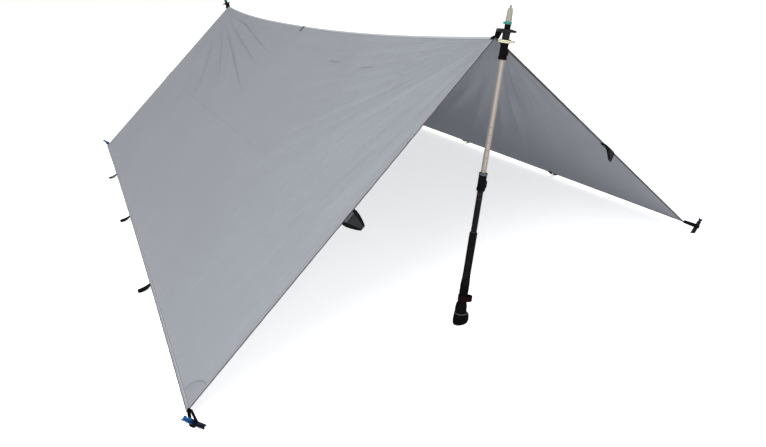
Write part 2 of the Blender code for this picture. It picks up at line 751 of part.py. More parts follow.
def make_bolt(name, axis, pivot):
    """The bolt through both ears: a round head on one side, and an eye with the lever's pin on the other."""
    along_x = Matrix.Rotation(math.radians(90), 4, "Y")
    seat = -(SLIT_WIDTH / 2 + EAR_THICKNESS + GAP)
    end = pivot[0] - EYE_RADIUS * 0.8
    head_profile = [
        (0.0, seat - BOLT_HEAD),
        (BOLT_HEAD_RADIUS - 0.8 * MM, seat - BOLT_HEAD),
        (BOLT_HEAD_RADIUS, seat - BOLT_HEAD + 0.8 * MM),
        (BOLT_HEAD_RADIUS, seat),
        (BOLT_RADIUS, seat),
        (BOLT_RADIUS, end),
        (0.0, end),
    ]
    upright = [(radius, -height) for radius, height in head_profile]
    place = Matrix.Translation((0, pivot[1], 0)) @ along_x @ Matrix.Rotation(math.pi, 4, "X")
    bolt = turned(name + "_bolt", upright, "steel", SMALL_SIDES, axis, place)
    eye = cylinders("eye", EYE_RADIUS, EYE_HEIGHT, [(0, 0, 0)], SMALL_SIDES)
    boolean(bolt, "UNION", add_tool(name + "_eye", eye, axis, Matrix.Translation(pivot)))
    pin = cylinders("pin", BOLT_RADIUS, LEVER_HEIGHT + 2 * PIN_PROUD, [(0, 0, 0)], SMALL_SIDES)
    boolean(bolt, "UNION", add_tool(name + "_pin", pin, axis, Matrix.Translation(pivot)))


def make_lever(name, pin_axis, pivot, barrel):
    """The cam lever: a forked cam on the pin and an arm that lies round the barrel when the lock is shut."""
    inner = barrel + LOCK_COLLAR_RISE
    outer = inner + LEVER_THICKNESS
    cam = arc(pivot, CAM_RADIUS, 0.0, math.radians(235), 7)
    inside = arc((0.0, 0.0), inner, LEVER_START, LEVER_END, 8)
    tip = [
        ((outer + LEVER_FLARE - 1 * MM) * math.cos(LEVER_END), (outer + LEVER_FLARE - 1 * MM) * math.sin(LEVER_END)),
        ((outer + LEVER_FLARE) * math.cos(LEVER_END + 0.12), (outer + LEVER_FLARE) * math.sin(LEVER_END + 0.12)),
    ]
    outside = arc((0.0, 0.0), outer, LEVER_END + 0.3, math.radians(28), 7)
    outline = [(x - pivot[0], y - pivot[1]) for x, y in cam + inside + tip + outside]
    bore = arc((0.0, 0.0), BOLT_RADIUS + GAP, 0.0, math.tau * (1 - 1 / SMALL_SIDES), SMALL_SIDES - 1)
    form = plate([outline, bore], LEVER_HEIGHT)
    lever = add_object(name + "_lever", mesh_from("lever", form), "black_plastic", pin_axis)
    fork = cylinders("fork", CAM_RADIUS + 0.8 * MM, EYE_HEIGHT + 2 * GAP, [(0, 0, 0)], SMALL_SIDES)
    boolean(lever, "DIFFERENCE", add_tool(name + "_fork", fork, pin_axis))


def ellipse(across, deep, height, sides=GRIP_SIDES):
    """A level ellipse of points."""
    angles = [math.tau * i / sides for i in range(sides)]
    return [(across * math.cos(a), deep * math.sin(a), height) for a in angles]


def make_handle(end, pole):
    """Foam grip, and a moulded handle whose head is cut level where it stands on the ground."""
    bore = UPPER_TUBE_RADIUS + GAP
    foam_bottom = HANDLE_TOP + GAP
    foam_profile = [
        (FOAM_RADIUS - FOAM_FLARE, GRIP_TOP),
        (FOAM_RADIUS, GRIP_TOP - 2 * MM),
        (FOAM_RADIUS, foam_bottom + FOAM_FLARE_LENGTH),
        (FOAM_RADIUS + FOAM_FLARE, foam_bottom),
        (bore, foam_bottom),
        (bore, GRIP_TOP),
    ]
    turned(end + "_foam_grip", foam_profile, "foam", GRIP_SIDES, pole, hollow=True)
    strap_bottom = WRIST_STRAP_TOP - WRIST_STRAP_WIDTH
    waist = (WRIST_WAIST, WRIST_WAIST)
    stations = [
        (HANDLE_TOP, (FOAM_RADIUS + FOAM_FLARE, FOAM_RADIUS + FOAM_FLARE)),
        (HANDLE_TOP - 12 * MM, HANDLE_SWELL),
        (WRIST_STRAP_TOP + WAIST_SLOPE, HANDLE_SWELL),
        (WRIST_STRAP_TOP + WAIST_MARGIN, waist),
        (strap_bottom - WAIST_MARGIN, waist),
        (strap_bottom - WAIST_MARGIN - WAIST_SLOPE, HANDLE_THROAT),
        (HEAD_TOP + 8 * MM, HANDLE_THROAT),
        (HEAD_TOP, HEAD_NECK),
        (HEAD_TOP - 6 * MM, HEAD_SHOULDER),
        (HEAD_TOP - HEAD_DEPTH, HEAD_EDGE),
        (0.0, HEAD_SOLE),
        (-12 * MM, HEAD_BELOW_GROUND),
    ]
    rings = [ellipse(across, deep, height) for height, (across, deep) in stations]
    handle = add_object(end + "_handle", lofted("handle", rings), "black_plastic", pole)
    bore_top = HANDLE_TOP + 5 * MM
    bore_bottom = UPPER_TUBE_END - GAP
    middle = (0, 0, (bore_top + bore_bottom) / 2)
    drill = cylinders("handle_bore", bore, bore_top - bore_bottom, [middle], TUBE_SIDES)
    boolean(handle, "DIFFERENCE", add_tool(end + "_handle_bore", drill, pole))
    low = (-HALF_WIDTH, -RIDGE_LENGTH, GROUND - 0.1)
    high = (HALF_WIDTH, RIDGE_LENGTH, GROUND)
    boolean(handle, "DIFFERENCE", add_tool(end + "_ground", box("ground", low, high)))
    make_wrist_strap(end, pole)


def make_wrist_strap(end, pole):
    """A band of webbing round the waist of the handle, standing off it where the strap folds."""
    outlines = []
    for thickness in (TAPE_THICKNESS, 0.0):
        outline = []
        for i in range(GRIP_SIDES):
            angle = math.tau * i / GRIP_SIDES
            from_fold = math.atan2(math.sin(angle), math.cos(angle))
            bulge = WRIST_STRAP_BULGE * math.exp(-((from_fold / WRIST_STRAP_FOLD_SPREAD) ** 2))
            radius = WRIST_WAIST + 2 * GAP + thickness + bulge
            outline.append((radius * math.cos(angle), radius * math.sin(angle)))
        outlines.append(outline)
    form = plate(outlines, WRIST_STRAP_WIDTH)
    middle = WRIST_STRAP_TOP - WRIST_STRAP_WIDTH / 2
    turn = Matrix.Rotation(WRIST_STRAP_DIRECTION, 4, "Z")
    mesh = mesh_from("wrist_strap", form)
    add_object(end + "_wrist_strap", mesh, "webbing", pole, Matrix.Translation((0, 0, middle)) @ turn)


def make_pole(end):
    """A three-section trekking pole, upturned. Any extra length is drawn out of its upper section."""
    pole = add_empty(end + "_pole", place=pole_place(end))
    top = POLES[end]["length"]
    make_tip(end, pole, top)
    lower_lock_top = top - LOWER_LOCK_TOP
    make_lock(end + "_lower_lock", pole, lower_lock_top, LOWER_TUBE_RADIUS, MIDDLE_TUBE_RADIUS, flange=True)
    middle_top = lower_lock_top - LOCK_LIP - GAP
    tube(end + "_middle_shaft", MIDDLE_TUBE_RADIUS, TUBE_WALL, middle_top, MIDDLE_TUBE_LENGTH, "grey_aluminium", pole)
    upper_lock_top = POLE_LENGTH - UPPER_LOCK_TOP
    make_lock(end + "_upper_lock", pole, upper_lock_top, MIDDLE_TUBE_RADIUS, UPPER_TUBE_RADIUS)
    upper_top = upper_lock_top - LOCK_LIP - GAP
    upper_length = upper_top - UPPER_TUBE_END
    tube(end + "_upper_shaft", UPPER_TUBE_RADIUS, TUBE_WALL, upper_top, upper_length, "black_aluminium", pole)
    make_handle(end, pole)
    return pole


# Straps from the ridge ends to the poles


def strap_half_width(run):
    """Half the strap's width at a distance from the pole's axis, round at its far side of the neck."""
    if run < 0:
        return math.sqrt(STRAP_RING_RADIUS**2 - run**2)
    return STRAP_RING_RADIUS + (STRAP_WIDTH / 2 - STRAP_RING_RADIUS) * smooth(run / BASKET_RADIUS)


def strap_point(end, share, step):
    """Point of a strap. Steps run over the basket, then down to the ridge end, then along the ridge."""
    sign = -1 if end == "front" else 1
    pole_frame = pole_place(end)
    edge = BASKET_RADIUS + STRAP_BEND
    start = -STRAP_RING_RADIUS * 0.97
    seat = POLES[end]["length"] - BASKET_TOP + GAP + TAPE_THICKNESS / 2
    lift = Vector((0, 0, (HEM_THICKNESS / 2 + GAP + TAPE_THICKNESS / 2) / math.cos(STAKE_LEAN)))
    if step <= 1:
        run = start + (edge - start) * step
        return pole_frame @ Vector((share * strap_half_width(run), run, seat))
    width = share * STRAP_WIDTH / 2
    on_ridge = smooth_cloth(-sign * width, sign * (HALF_RIDGE - max(step - 2, 0) * STRAP_SEWN_LENGTH)) + lift
    if step >= 2:
        return on_ridge
    leave = pole_frame @ Vector((width, edge, seat))
    leave_pull = leave + pole_frame.to_3x3() @ Vector((0, STRAP_PULL, 0))
    arrive_pull = on_ridge + Vector((0, sign * STRAP_PULL, 0))
    t = step - 1
    s = 1 - t
    return s**3 * leave + 3 * s * s * t * leave_pull + 3 * s * t * t * arrive_pull + t**3 * on_ridge


def make_strap(end):
    """The strap that carries the ridge end: a ring round the pole's neck, resting on the basket."""
    form = bmesh.new()
    bmesh.ops.create_grid(form, x_segments=STRAP_COLUMNS, y_segments=3 * STRAP_ROWS, size=0.5)
    for corner in form.verts:
        corner.co = strap_point(end, 2 * corner.co.x, 3 * (corner.co.y + 0.5))
    strap = add_object(end + "_ridge_strap", mesh_from("strap", form), "webbing")
    thicken(strap, TAPE_THICKNESS)
    seat = POLES[end]["length"] - BASKET_TOP
    neck = cylinders("neck", FLEX_TIP_RADIUS + GAP, 2 * STRAP_RING_RADIUS, [(0, 0, seat)], LOCK_SIDES)
    boolean(strap, "DIFFERENCE", add_tool(end + "_neck", neck, place=pole_place(end)))


# Cord wound on the front pole


def winding_points(top):
    """Centre line of the winding: even turns on the flange, both ends turning out into the knot."""
    radius = FLANGE_RADIUS + GAP + CORD_DIAMETER / 2
    rise = KNOT_RADIUS + CORD_DIAMETER / 2 + KNOT_CLEARANCE
    whole = math.tau * CORD_TURNS
    steps = CORD_TURNS * CORD_POINTS_A_TURN
    middle = top - FLANGE_HEIGHT / 2
    points = []
    for i in range(steps + 1):
        angle = CORD_LEAD + (whole - 2 * CORD_LEAD) * i / steps
        out = 1 - smooth((min(angle, whole - angle) - CORD_LEAD) / CORD_SWING)
        height = (angle / math.tau - CORD_TURNS / 2) * CORD_PITCH * (1 - out)
        r = radius + rise * out
        turn = angle + KNOT_DIRECTION
        points.append(Vector((r * math.cos(turn), r * math.sin(turn), middle - height)))
    return points


def least_gap(points, diameter):
    """Least gap between parts of a cord that lie more than half a turn apart along it."""
    apart = CORD_POINTS_A_TURN // 2
    gaps = []
    for i, point in enumerate(points):
        for other in points[i + apart :]:
            gaps.append((point - other).length - diameter)
    return min(gaps)


def make_winding(pole):
    """The cord as one tube, joined to the knot that both of its ends run into."""
    top = POLE_LENGTH - LOWER_LOCK_TOP
    points = winding_points(top)
    print("winding: least gap to itself is %.2f mm" % (least_gap(points, CORD_DIAMETER) / MM))
    curve = bpy.data.curves.new("winding", "CURVE")
    curve.dimensions = "3D"
    curve.bevel_depth = CORD_DIAMETER / 2
    curve.bevel_resolution = 1
    curve.use_fill_caps = True
    spline = curve.splines.new("POLY")
    spline.points.add(len(points) - 1)
    for target, point in zip(spline.points, points):
        target.co = (*point, 1.0)
    winding = add_object("front_cord_winding", solid_curve(curve), "glow_cord", pole)
    radius = FLANGE_RADIUS + GAP + CORD_DIAMETER + KNOT_CLEARANCE + KNOT_RADIUS
    knot_place = Matrix.Rotation(KNOT_DIRECTION, 4, "Z") @ Matrix.Translation((radius, 0, top - FLANGE_HEIGHT / 2))
    form = bmesh.new()
    bmesh.ops.create_uvsphere(form, u_segments=10, v_segments=6, radius=KNOT_RADIUS)
    boolean(winding, "UNION", add_tool("cord_knot", mesh_from("knot", form), pole, knot_place))


def solid_curve(curve):
    """A curve's tube as mesh data with its caps welded on."""
    holder = bpy.data.objects.new("winding", curve)
    CUTTERS.objects.link(holder)
    shape = holder.evaluated_get(bpy.context.evaluated_depsgraph_get())
    mesh = bpy.data.meshes.new_from_object(shape)
    bpy.data.objects.remove(holder, do_unlink=True)
    form = bmesh.new()
    form.from_mesh(mesh)
    bmesh.ops.remove_doubles(form, verts=form.verts, dist=0.01 * MM)
    return mesh_from("winding", form)


make_cloth()
make_webbing()
make_stakes()
front_pole = make_pole("front")
make_pole("rear")
make_strap("front")
make_strap("rear")
make_winding(front_pole)
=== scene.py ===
# %% [markdown]
# # A camping tarp on two trekking poles
# This lesson dresses a packed CAD model of a small ridge shelter: a thin nylon tarp, hung by its ridge from
# two upturned trekking poles and pegged at its four corners. The CAD model gives every size and every joint.
# What it lacks is the surface: the creases of the cloth, its hems and stitches, the weave of the webbing and
# the finish of each tube and moulding. Each step makes one of these.

# %% Load the frame
import json
import math

import bmesh
import bpy
import numpy as np
from mathutils import Matrix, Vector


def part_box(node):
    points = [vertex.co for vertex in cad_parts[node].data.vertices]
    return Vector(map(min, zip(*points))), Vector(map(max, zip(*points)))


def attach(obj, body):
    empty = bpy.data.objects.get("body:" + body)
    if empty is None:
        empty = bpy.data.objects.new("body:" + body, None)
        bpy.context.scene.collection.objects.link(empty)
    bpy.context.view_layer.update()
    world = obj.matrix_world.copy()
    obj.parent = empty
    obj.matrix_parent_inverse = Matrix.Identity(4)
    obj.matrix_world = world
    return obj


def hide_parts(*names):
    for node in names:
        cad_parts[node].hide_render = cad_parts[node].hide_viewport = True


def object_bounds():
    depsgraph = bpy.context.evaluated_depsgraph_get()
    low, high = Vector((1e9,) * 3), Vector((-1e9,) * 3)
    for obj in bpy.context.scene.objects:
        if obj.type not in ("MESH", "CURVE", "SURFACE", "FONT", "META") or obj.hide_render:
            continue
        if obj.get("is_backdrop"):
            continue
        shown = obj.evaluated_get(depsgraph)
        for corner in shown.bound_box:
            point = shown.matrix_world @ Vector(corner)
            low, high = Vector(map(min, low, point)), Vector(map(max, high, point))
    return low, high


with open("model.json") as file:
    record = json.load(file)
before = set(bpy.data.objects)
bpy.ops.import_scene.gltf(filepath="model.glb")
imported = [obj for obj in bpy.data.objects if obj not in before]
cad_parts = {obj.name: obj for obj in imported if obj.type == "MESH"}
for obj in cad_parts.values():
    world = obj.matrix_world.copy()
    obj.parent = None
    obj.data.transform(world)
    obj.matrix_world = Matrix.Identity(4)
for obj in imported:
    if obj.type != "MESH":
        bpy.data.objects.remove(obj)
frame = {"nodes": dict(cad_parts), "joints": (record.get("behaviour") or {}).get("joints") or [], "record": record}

CAD_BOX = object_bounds()
print("CAD box in metres:", [[round(value, 3) for value in corner] for corner in CAD_BOX])

# %% [markdown]
# ## The camera
# The picture is taken from a little above the tarp's front left corner. The camera's place and turn are real
# sizes in the model's frame, and its lens is a wide one, about 26 mm on a full frame. The small lens shift
# only stands for a picture that was cropped at its foot.

# %% Camera
PICTURE_WIDTH = 766
CAMERA_PLACE = np.array([-1.0411, -2.7691, 1.1130])
CAMERA_TURN = [math.radians(angle) for angle in (27.35, 20.52, -3.52)]
FOCAL_LENGTH = 559.8
PICTURE_SHIFT = (-0.1, -41.2)
SENSOR = 36


def add_object(name, data):
    """An object that holds some data, linked to the scene."""
    made = bpy.data.objects.new(name, data)
    bpy.context.scene.collection.objects.link(made)
    return made


def set_up(thing, place, right, up, backward):
    """Put an object at a place with its own x, y and z turned to three unit vectors."""
    matrix = np.eye(4)
    matrix[:3] = np.stack([right, up, backward, place], 1)
    thing.matrix_world = Matrix(matrix)


def camera_directions(yaw, pitch, roll):
    """Right, up and forward: forward swings by the yaw from +Y and dips by the pitch, the roll turns both."""
    forward = np.array([math.sin(yaw) * math.cos(pitch), math.cos(yaw) * math.cos(pitch), -math.sin(pitch)])
    level = np.array([math.cos(yaw), -math.sin(yaw), 0.0])
    above = np.cross(level, forward)
    right = level * math.cos(roll) + above * math.sin(roll)
    up = above * math.cos(roll) - level * math.sin(roll)
    return right, up, forward


right, up, forward = camera_directions(*CAMERA_TURN)
camera = add_object("camera", bpy.data.cameras.new("camera"))
set_up(camera, CAMERA_PLACE, right, up, -forward)
camera.data.sensor_width = SENSOR
camera.data.lens = FOCAL_LENGTH * SENSOR / PICTURE_WIDTH
camera.data.shift_x = -PICTURE_SHIFT[0] / PICTURE_WIDTH
camera.data.shift_y = PICTURE_SHIFT[1] / PICTURE_WIDTH
bpy.context.scene.camera = camera
print("lens in mm:", round(camera.data.lens, 1))

# %% [markdown]
# ## Surfaces from grids of points
# Nearly every piece here is a grid: rows and columns of points worked out together as one numpy array. Where
# a form closes on itself, its last row or column joins the first. Each corner of each face also keeps its
# place on the real material in metres, as a UV, so that weave and stitches come out at their true size.

# %% Make a mesh from a grid
MM = 0.001
SMOOTH_ANGLE = math.radians(35)
DOUBLES = 0.002 * MM


def smooth(value):
    """Ease from 0 to 1 with level ends: 3v squared less 2v cubed, held between 0 and 1."""
    value = np.clip(value, 0.0, 1.0)
    return value * value * (3 - 2 * value)


def unit(vectors):
    """Vectors brought to length one."""
    return vectors / np.linalg.norm(vectors, axis=-1, keepdims=True)


def run_length(points):
    """Distance along each column of a grid from its first row, averaged over the columns."""
    steps = np.linalg.norm(np.diff(points, axis=0), axis=-1).mean(-1)
    return np.concatenate([[0.0], np.cumsum(steps)])


def uv_grid(down, across):
    """The UV of a grid, from the distances down its rows and across its columns."""
    return np.stack(np.meshgrid(down, across, indexing="ij"), -1)


def smooth_piece(name, mesh, finish, doubles, flat=None):
    """Merge points, and flat faces where an angle is given, and shade smooth but for sharp edges."""
    form = bmesh.new()
    form.from_mesh(mesh)
    bmesh.ops.remove_doubles(form, verts=form.verts, dist=doubles)
    if flat:
        bmesh.ops.dissolve_limit(form, angle_limit=flat, verts=form.verts, edges=form.edges)
    form.to_mesh(mesh)
    form.free()
    mesh.shade_smooth()
    mesh.set_sharp_from_angle(angle=SMOOTH_ANGLE)
    mesh.materials.append(finish)
    return add_object(name, mesh)


def grid_piece(name, points, uv, finish, rows_close=False, columns_close=False, flip=False):
    """A grid of points as an object. uv has one more line in each direction that closes on itself."""
    rows, columns = points.shape[:2]
    starts = np.arange(rows - (not rows_close)), np.arange(columns - (not columns_close))
    row, column = np.meshgrid(*starts, indexing="ij")
    corners = [(row, column), (row + 1, column), (row + 1, column + 1), (row, column + 1)]
    faces = np.stack([i % rows * columns + j % columns for i, j in corners], -1).reshape(-1, 4)
    corner_uv = np.stack([uv[i, j] for i, j in corners], -2).reshape(-1, 4, 2)
    if flip:
        faces, corner_uv = faces[:, ::-1], corner_uv[:, ::-1]
    mesh = bpy.data.meshes.new(name)
    mesh.from_pydata(points.reshape(-1, 3), [], faces.tolist())
    layer = mesh.uv_layers.new(name="UVMap")
    layer.data.foreach_set("uv", corner_uv.astype(np.float32).ravel())
    return smooth_piece(name, mesh, finish, DOUBLES)


def stand_in(piece, body, node, slot=None):
    """Parent a piece to its body's empty and hide the CAD node it stands for. The slot is not used."""
    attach(piece, body)
    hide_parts(node)
    return piece


print("eased at a quarter, a half and three quarters:", smooth(np.array([0.25, 0.5, 0.75])))

# %% [markdown]
# ## Node sums in Python
# A procedural finish is mostly arithmetic on coordinates. One small class wraps a node's output, so that
# `1 - mask * 0.3` adds its two Math nodes by itself. Every other node comes from one method that takes the
# node's type, its settings and what goes into its sockets.

# %% Shader sums
class Value:
    """A node's output. Sums on it add Math nodes to its tree."""

    def __init__(self, tree, socket):
        self.tree = tree
        self.socket = socket

    def maths(self, operation, *others):
        """A Math node of this value and others."""
        return self.tree.maths(operation, self, *others)

    def output(self, name):
        """Another output of the same node."""
        return Value(self.tree, self.socket.node.outputs[name])

    def __add__(self, other):
        return self.maths("ADD", other)

    def __sub__(self, other):
        return self.maths("SUBTRACT", other)

    def __mul__(self, other):
        return self.maths("MULTIPLY", other)

    def __truediv__(self, other):
        return self.maths("DIVIDE", other)

    def __rsub__(self, other):
        return self.tree.maths("SUBTRACT", other, self)

    def __rtruediv__(self, other):
        return self.tree.maths("DIVIDE", other, self)

    def __abs__(self):
        return self.maths("ABSOLUTE")

    __radd__ = __add__
    __rmul__ = __mul__


class NodeTree:
    """A tree of shader nodes, of a material or of the world."""

    def __init__(self, owner):
        owner.use_nodes = True
        self.owner = owner
        self.nodes = owner.node_tree.nodes

    def node(self, kind, settings=None, inputs=None, output=0):
        """Add a node: its settings first, then the values or links of its sockets."""
        node = self.nodes.new(kind)
        for setting, value in (settings or {}).items():
            setattr(node, setting, value)
        for socket, value in (inputs or {}).items():
            self.put(node.inputs[socket], value)
        return Value(self, node.outputs[output])

    def put(self, socket, value):
        """Link a value to a socket, or set the socket to a constant."""
        if isinstance(value, Value):
            self.owner.node_tree.links.new(value.socket, socket)
        elif hasattr(socket.default_value, "__len__") and len(socket.default_value) == 4:
            socket.default_value = (*value, 1.0)
        else:
            socket.default_value = value

    def maths(self, operation, *values):
        """One Math node."""
        return self.node("ShaderNodeMath", {"operation": operation}, dict(enumerate(values)))


print("sums with a plain number first:", [name for name in vars(Value) if name.startswith("__r")])

# %% [markdown]
# ## A finish
# A finish is a named material together with the patterns that many pieces share: soft random values, lines
# at a place, ribs at an even spacing, and colours mixed by a mask.

# %% Finishes
class Finish(NodeTree):
    """A named material and its node tree."""

    def __init__(self, name, **constants):
        super().__init__(bpy.data.materials.new(name))
        self.shader = self.nodes["Principled BSDF"]
        for socket, value in constants.items():
            self.shader.inputs[socket.replace("_", " ")].default_value = value

    def paint(self, **inputs):
        """Send values to the shader's own sockets, and give back the material."""
        for socket, value in inputs.items():
            self.put(self.shader.inputs[socket.replace("_", " ")], value)
        return self.owner

    def place(self, kind="UV"):
        """The point being shaded, as the piece's UV or its Object coordinates."""
        return self.node("ShaderNodeTexCoord", output=kind)

    def flat_place(self):
        """The UV as a vector, and its two distances."""
        uv = self.place()
        return uv, *self.parts(uv)[:2]

    def parts(self, vector):
        """The x, y and z of a vector."""
        split = self.node("ShaderNodeSeparateXYZ", inputs={0: vector})
        return [split.output(name) for name in "XYZ"]

    def point(self, x=0.0, y=0.0, z=0.0):
        """A vector from three values."""
        return self.node("ShaderNodeCombineXYZ", inputs={0: x, 1: y, 2: z})

    def noise(self, vector, scale, detail=2.0, roughness=0.5):
        """Soft random values around a half."""
        inputs = {"Vector": vector, "Scale": scale, "Detail": detail, "Roughness": roughness}
        return self.node("ShaderNodeTexNoise", inputs=inputs)

    def ramp(self, value, low, high, start=0.0, end=1.0):
        """Ease a value from start to end as it goes from low to high."""
        inputs = {"Value": value, "From Min": low, "From Max": high, "To Min": start, "To Max": end}
        return self.node("ShaderNodeMapRange", {"interpolation_type": "SMOOTHSTEP"}, inputs)

    def fade(self, value, low, high):
        """Ease from 1 to 0 as a value goes from low to high."""
        return self.ramp(value, low, high, 1.0, 0.0)

    def line(self, value, place, half_width):
        """1 where a value is at a place, easing to 0 half a width away."""
        return self.fade(abs(value - place), 0.0, half_width)

    def wave(self, value, spacing):
        """Distance from the nearest multiple of a spacing."""
        share = (value / spacing).maths("FRACT")
        return (0.5 - abs(share - 0.5)) * spacing

    def ribs(self, value, spacing):
        """The same distance as a share of its greatest, 0 in a groove and 1 on a rib."""
        return self.wave(value, spacing) * (2 / spacing)

    def colours(self, mask, first, second):
        """Mix two colours by a mask."""
        node = self.node("ShaderNodeMix", {"data_type": "RGBA"}, {"Factor": mask}).socket.node
        sockets = [socket for socket in node.inputs if socket.type == "RGBA"]
        self.put(sockets[0], first)
        self.put(sockets[1], second)
        return Value(self, next(socket for socket in node.outputs if socket.type == "RGBA"))

    def shade(self, colour, tone):
        """A colour made lighter or darker by a value."""
        return self.node("ShaderNodeVectorMath", {"operation": "SCALE"}, {0: colour, "Scale": tone})

    def relief(self, height, distance, strength=1.0):
        """A bump of a height from 0 to 1 that stands a distance proud. It gives back the material."""
        inputs = {"Strength": strength, "Distance": distance, "Height": height}
        return self.paint(Normal=self.node("ShaderNodeBump", inputs=inputs))

    def let_light_through(self, colour, share):
        """Mix in a translucent shader, so that a share of the light on one face comes out of the other."""
        through = self.node("ShaderNodeBsdfTranslucent", inputs={"Color": colour})
        own = Value(self, self.shader.outputs[0])
        mixed = self.node("ShaderNodeMixShader", inputs={0: share, 1: own, 2: through})
        self.put(self.nodes["Material Output"].inputs["Surface"], mixed)


print("a finish can make:", [name for name in vars(Finish) if name[0] != "_"])

# %% [markdown]
# ## The pitched cloth
# The real tarp is a flat rectangle of coated nylon, 2.6 m by 3 m, with a seam along its ridge. Pitched, each
# half is nearly flat: straight lines run from the ridge, which hangs a little between its peaks, to the edge,
# which bows in. A cloth simulation would find much the same surface, but this rule gives it exactly and lets
# every fold be placed where it is seen. The same rule made the CAD solids, so the cloth lies in them.

# %% Rule of the cloth
HALF_WIDTH = 1.300
HALF_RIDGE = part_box("rear_hem")[1].y
FRONT_PEAK = 0.857
REAR_PEAK = 0.880
CORNER_HEIGHT = 0.017
RIDGE_SAG = 0.057
EDGE_BOW = 7 * MM
EDGE_LIFT = 7 * MM
HEM_WIDTH = 14 * MM
SEAM_WIDTH = 24 * MM
RIDGE_ROUND = 6 * MM
STAND = {mount["name"]: np.array(mount["pos_m"]) for mount in frame["record"]["mounts"]}
GROUND = float(STAND["front_pole_foot"][2])
CORNER_REACH = math.sqrt(HALF_WIDTH**2 - (FRONT_PEAK - CORNER_HEIGHT) ** 2)


def ridge_height(along):
    """The ridge hangs below the line of its peaks, by a square law in front and a cube law behind."""
    share = along / HALF_RIDGE
    power = np.where(share < 0, 2, 3)
    line = FRONT_PEAK + (REAR_PEAK - FRONT_PEAK) * (share + 1) / 2
    return GROUND + line - RIDGE_SAG * (1 - np.abs(share) ** power)


def bare_cloth(side, distance, along):
    """A point of one half, at a distance from the ridge: a straight line from the ridge to the bowed edge."""
    bow = 1 - (along / HALF_RIDGE) ** 2
    reach = CORNER_REACH - EDGE_BOW * bow
    edge_height = GROUND + CORNER_HEIGHT + EDGE_LIFT * bow
    share = distance / HALF_WIDTH
    height = ridge_height(along) * (1 - share) + edge_height * share
    return np.stack([side * share * reach, along + 0 * share, height], -1)


def half_out(side, distance, along):
    """Unit vector out of the upper face: the cross product of the ways down the slope and along the ridge."""
    step = 1 * MM
    down = bare_cloth(side, distance + step, along) - bare_cloth(side, distance - step, along)
    back = bare_cloth(side, distance, along + step) - bare_cloth(side, distance, along - step)
    return unit(np.cross(down, back)) * side


def cloth_out(across, along):
    """Unit vector out of the cloth on either half, eased from one half to the other over the ridge."""
    distance = np.abs(across)
    ease = smooth((across + RIDGE_ROUND) / (2 * RIDGE_ROUND))[..., None]
    return unit(half_out(-1, distance, along) * (1 - ease) + half_out(1, distance, along) * ease)


def on_cloth(across, along, lift=0.0):
    """A point lifted out of the unfolded cloth."""
    across, along, lift = np.broadcast_arrays(across, along, lift)
    side = np.where(across < 0, -1.0, 1.0)
    return bare_cloth(side, np.abs(across), along) + cloth_out(across, along) * lift[..., None]


peaks = ridge_height(np.array([-HALF_RIDGE, HALF_RIDGE]))
print("ground at", round(GROUND, 4), "and peaks at", peaks.round(3))

# %% [markdown]
# ## Folds and creases
# A pitched tarp shows three kinds of fold. Swells fan out of both peaks, where all the load runs into one
# strap. Sharper creases run through them like spokes. Just under the ridge the cloth is slack, and lies in
# short dents. Each crease is a bell-shaped groove along a line between two places, in metres from the ridge
# and along it.

# %% Table of folds and creases
FAN_HEIGHT = 7 * MM
FAN_FOLDS = 9
FAN_REACH = 1.3
CREASE_HEIGHT = 4 * MM
CREASE_HALF_WIDTH = 60 * MM
FOLD_FADE = 0.16
RIPPLES = ((23, 2.2 * MM), (37, 1.8 * MM), (59, 1.1 * MM))
RIPPLE_REACH = 1.7
# Each crease: where it starts and ends, in metres from the ridge and along it, its depth and half width in mm
REAR_SPOKES = (
    ((0.11, 1.32), (0.53, -0.20), 7, 13),
    ((0.07, 1.32), (0.33, 0.02), 6, 12),
    ((0.03, 1.25), (0.24, -0.04), 5, 12),
    ((0.16, 1.30), (0.52, 0.42), 6, 14),
    ((0.22, 1.30), (0.74, 0.50), 5, 16),
    ((0.30, 1.30), (0.95, 0.62), 4, 18),
    ((0.02, 1.25), (0.12, 0.25), 3, 12),
)
FRONT_SPOKES = (
    ((0.14, -1.34), (1.02, -0.02), 9, 20),
    ((0.16, -1.34), (1.08, -0.28), 8, 20),
    ((0.20, -1.34), (1.12, -0.52), 7, 18),
    ((0.24, -1.32), (1.10, -0.74), 6, 18),
    ((0.30, -1.34), (1.02, -0.96), 2, 18),
)
RIDGE_DENTS = (
    ((0.105, -0.04), (0.100, -0.86), 7, 28),
    ((0.150, -1.00), (0.176, -0.84), 5, 10),
    ((0.158, -0.72), (0.170, -0.52), 5, 10),
    ((0.350, -1.14), (0.320, -1.00), 1.5, 8),
    ((0.352, -0.88), (0.325, -0.72), 1.5, 8),
    ((0.360, -0.62), (0.330, -0.46), 1.5, 8),
)
CREASES = {-1: REAR_SPOKES + RIDGE_DENTS, 1: REAR_SPOKES + FRONT_SPOKES + RIDGE_DENTS[:3]}
print("creases on each half:", {side: len(lines) for side, lines in CREASES.items()})

# %% [markdown]
# ## The shape of a fold
# Round a peak, a distance and an angle say where a place is. Swells and ripples are sines of that angle, so
# they run out like a fan. Everything eases to nothing at the seam and the hems.

# %% Fold heights
def from_peak(distance, along, end):
    """Distance and angle round a peak, the angle measured from the ridge."""
    from_end = HALF_RIDGE - end * along
    return np.hypot(distance, from_end), np.arctan2(distance, from_end)


def swells(distance, along):
    """Sine waves round each peak's angle that rise and die out, and a low ridge down the middle."""
    height = CREASE_HEIGHT * np.exp(-(((distance - HALF_WIDTH / 2) / CREASE_HALF_WIDTH) ** 2))
    for end in (-1, 1):
        run, angle = from_peak(distance, along, end)
        swell = smooth(run / 0.5) * (1 - smooth(run / FAN_REACH))
        height = height + FAN_HEIGHT * swell * np.sin(FAN_FOLDS * angle) * np.sin(2 * angle)
    return height


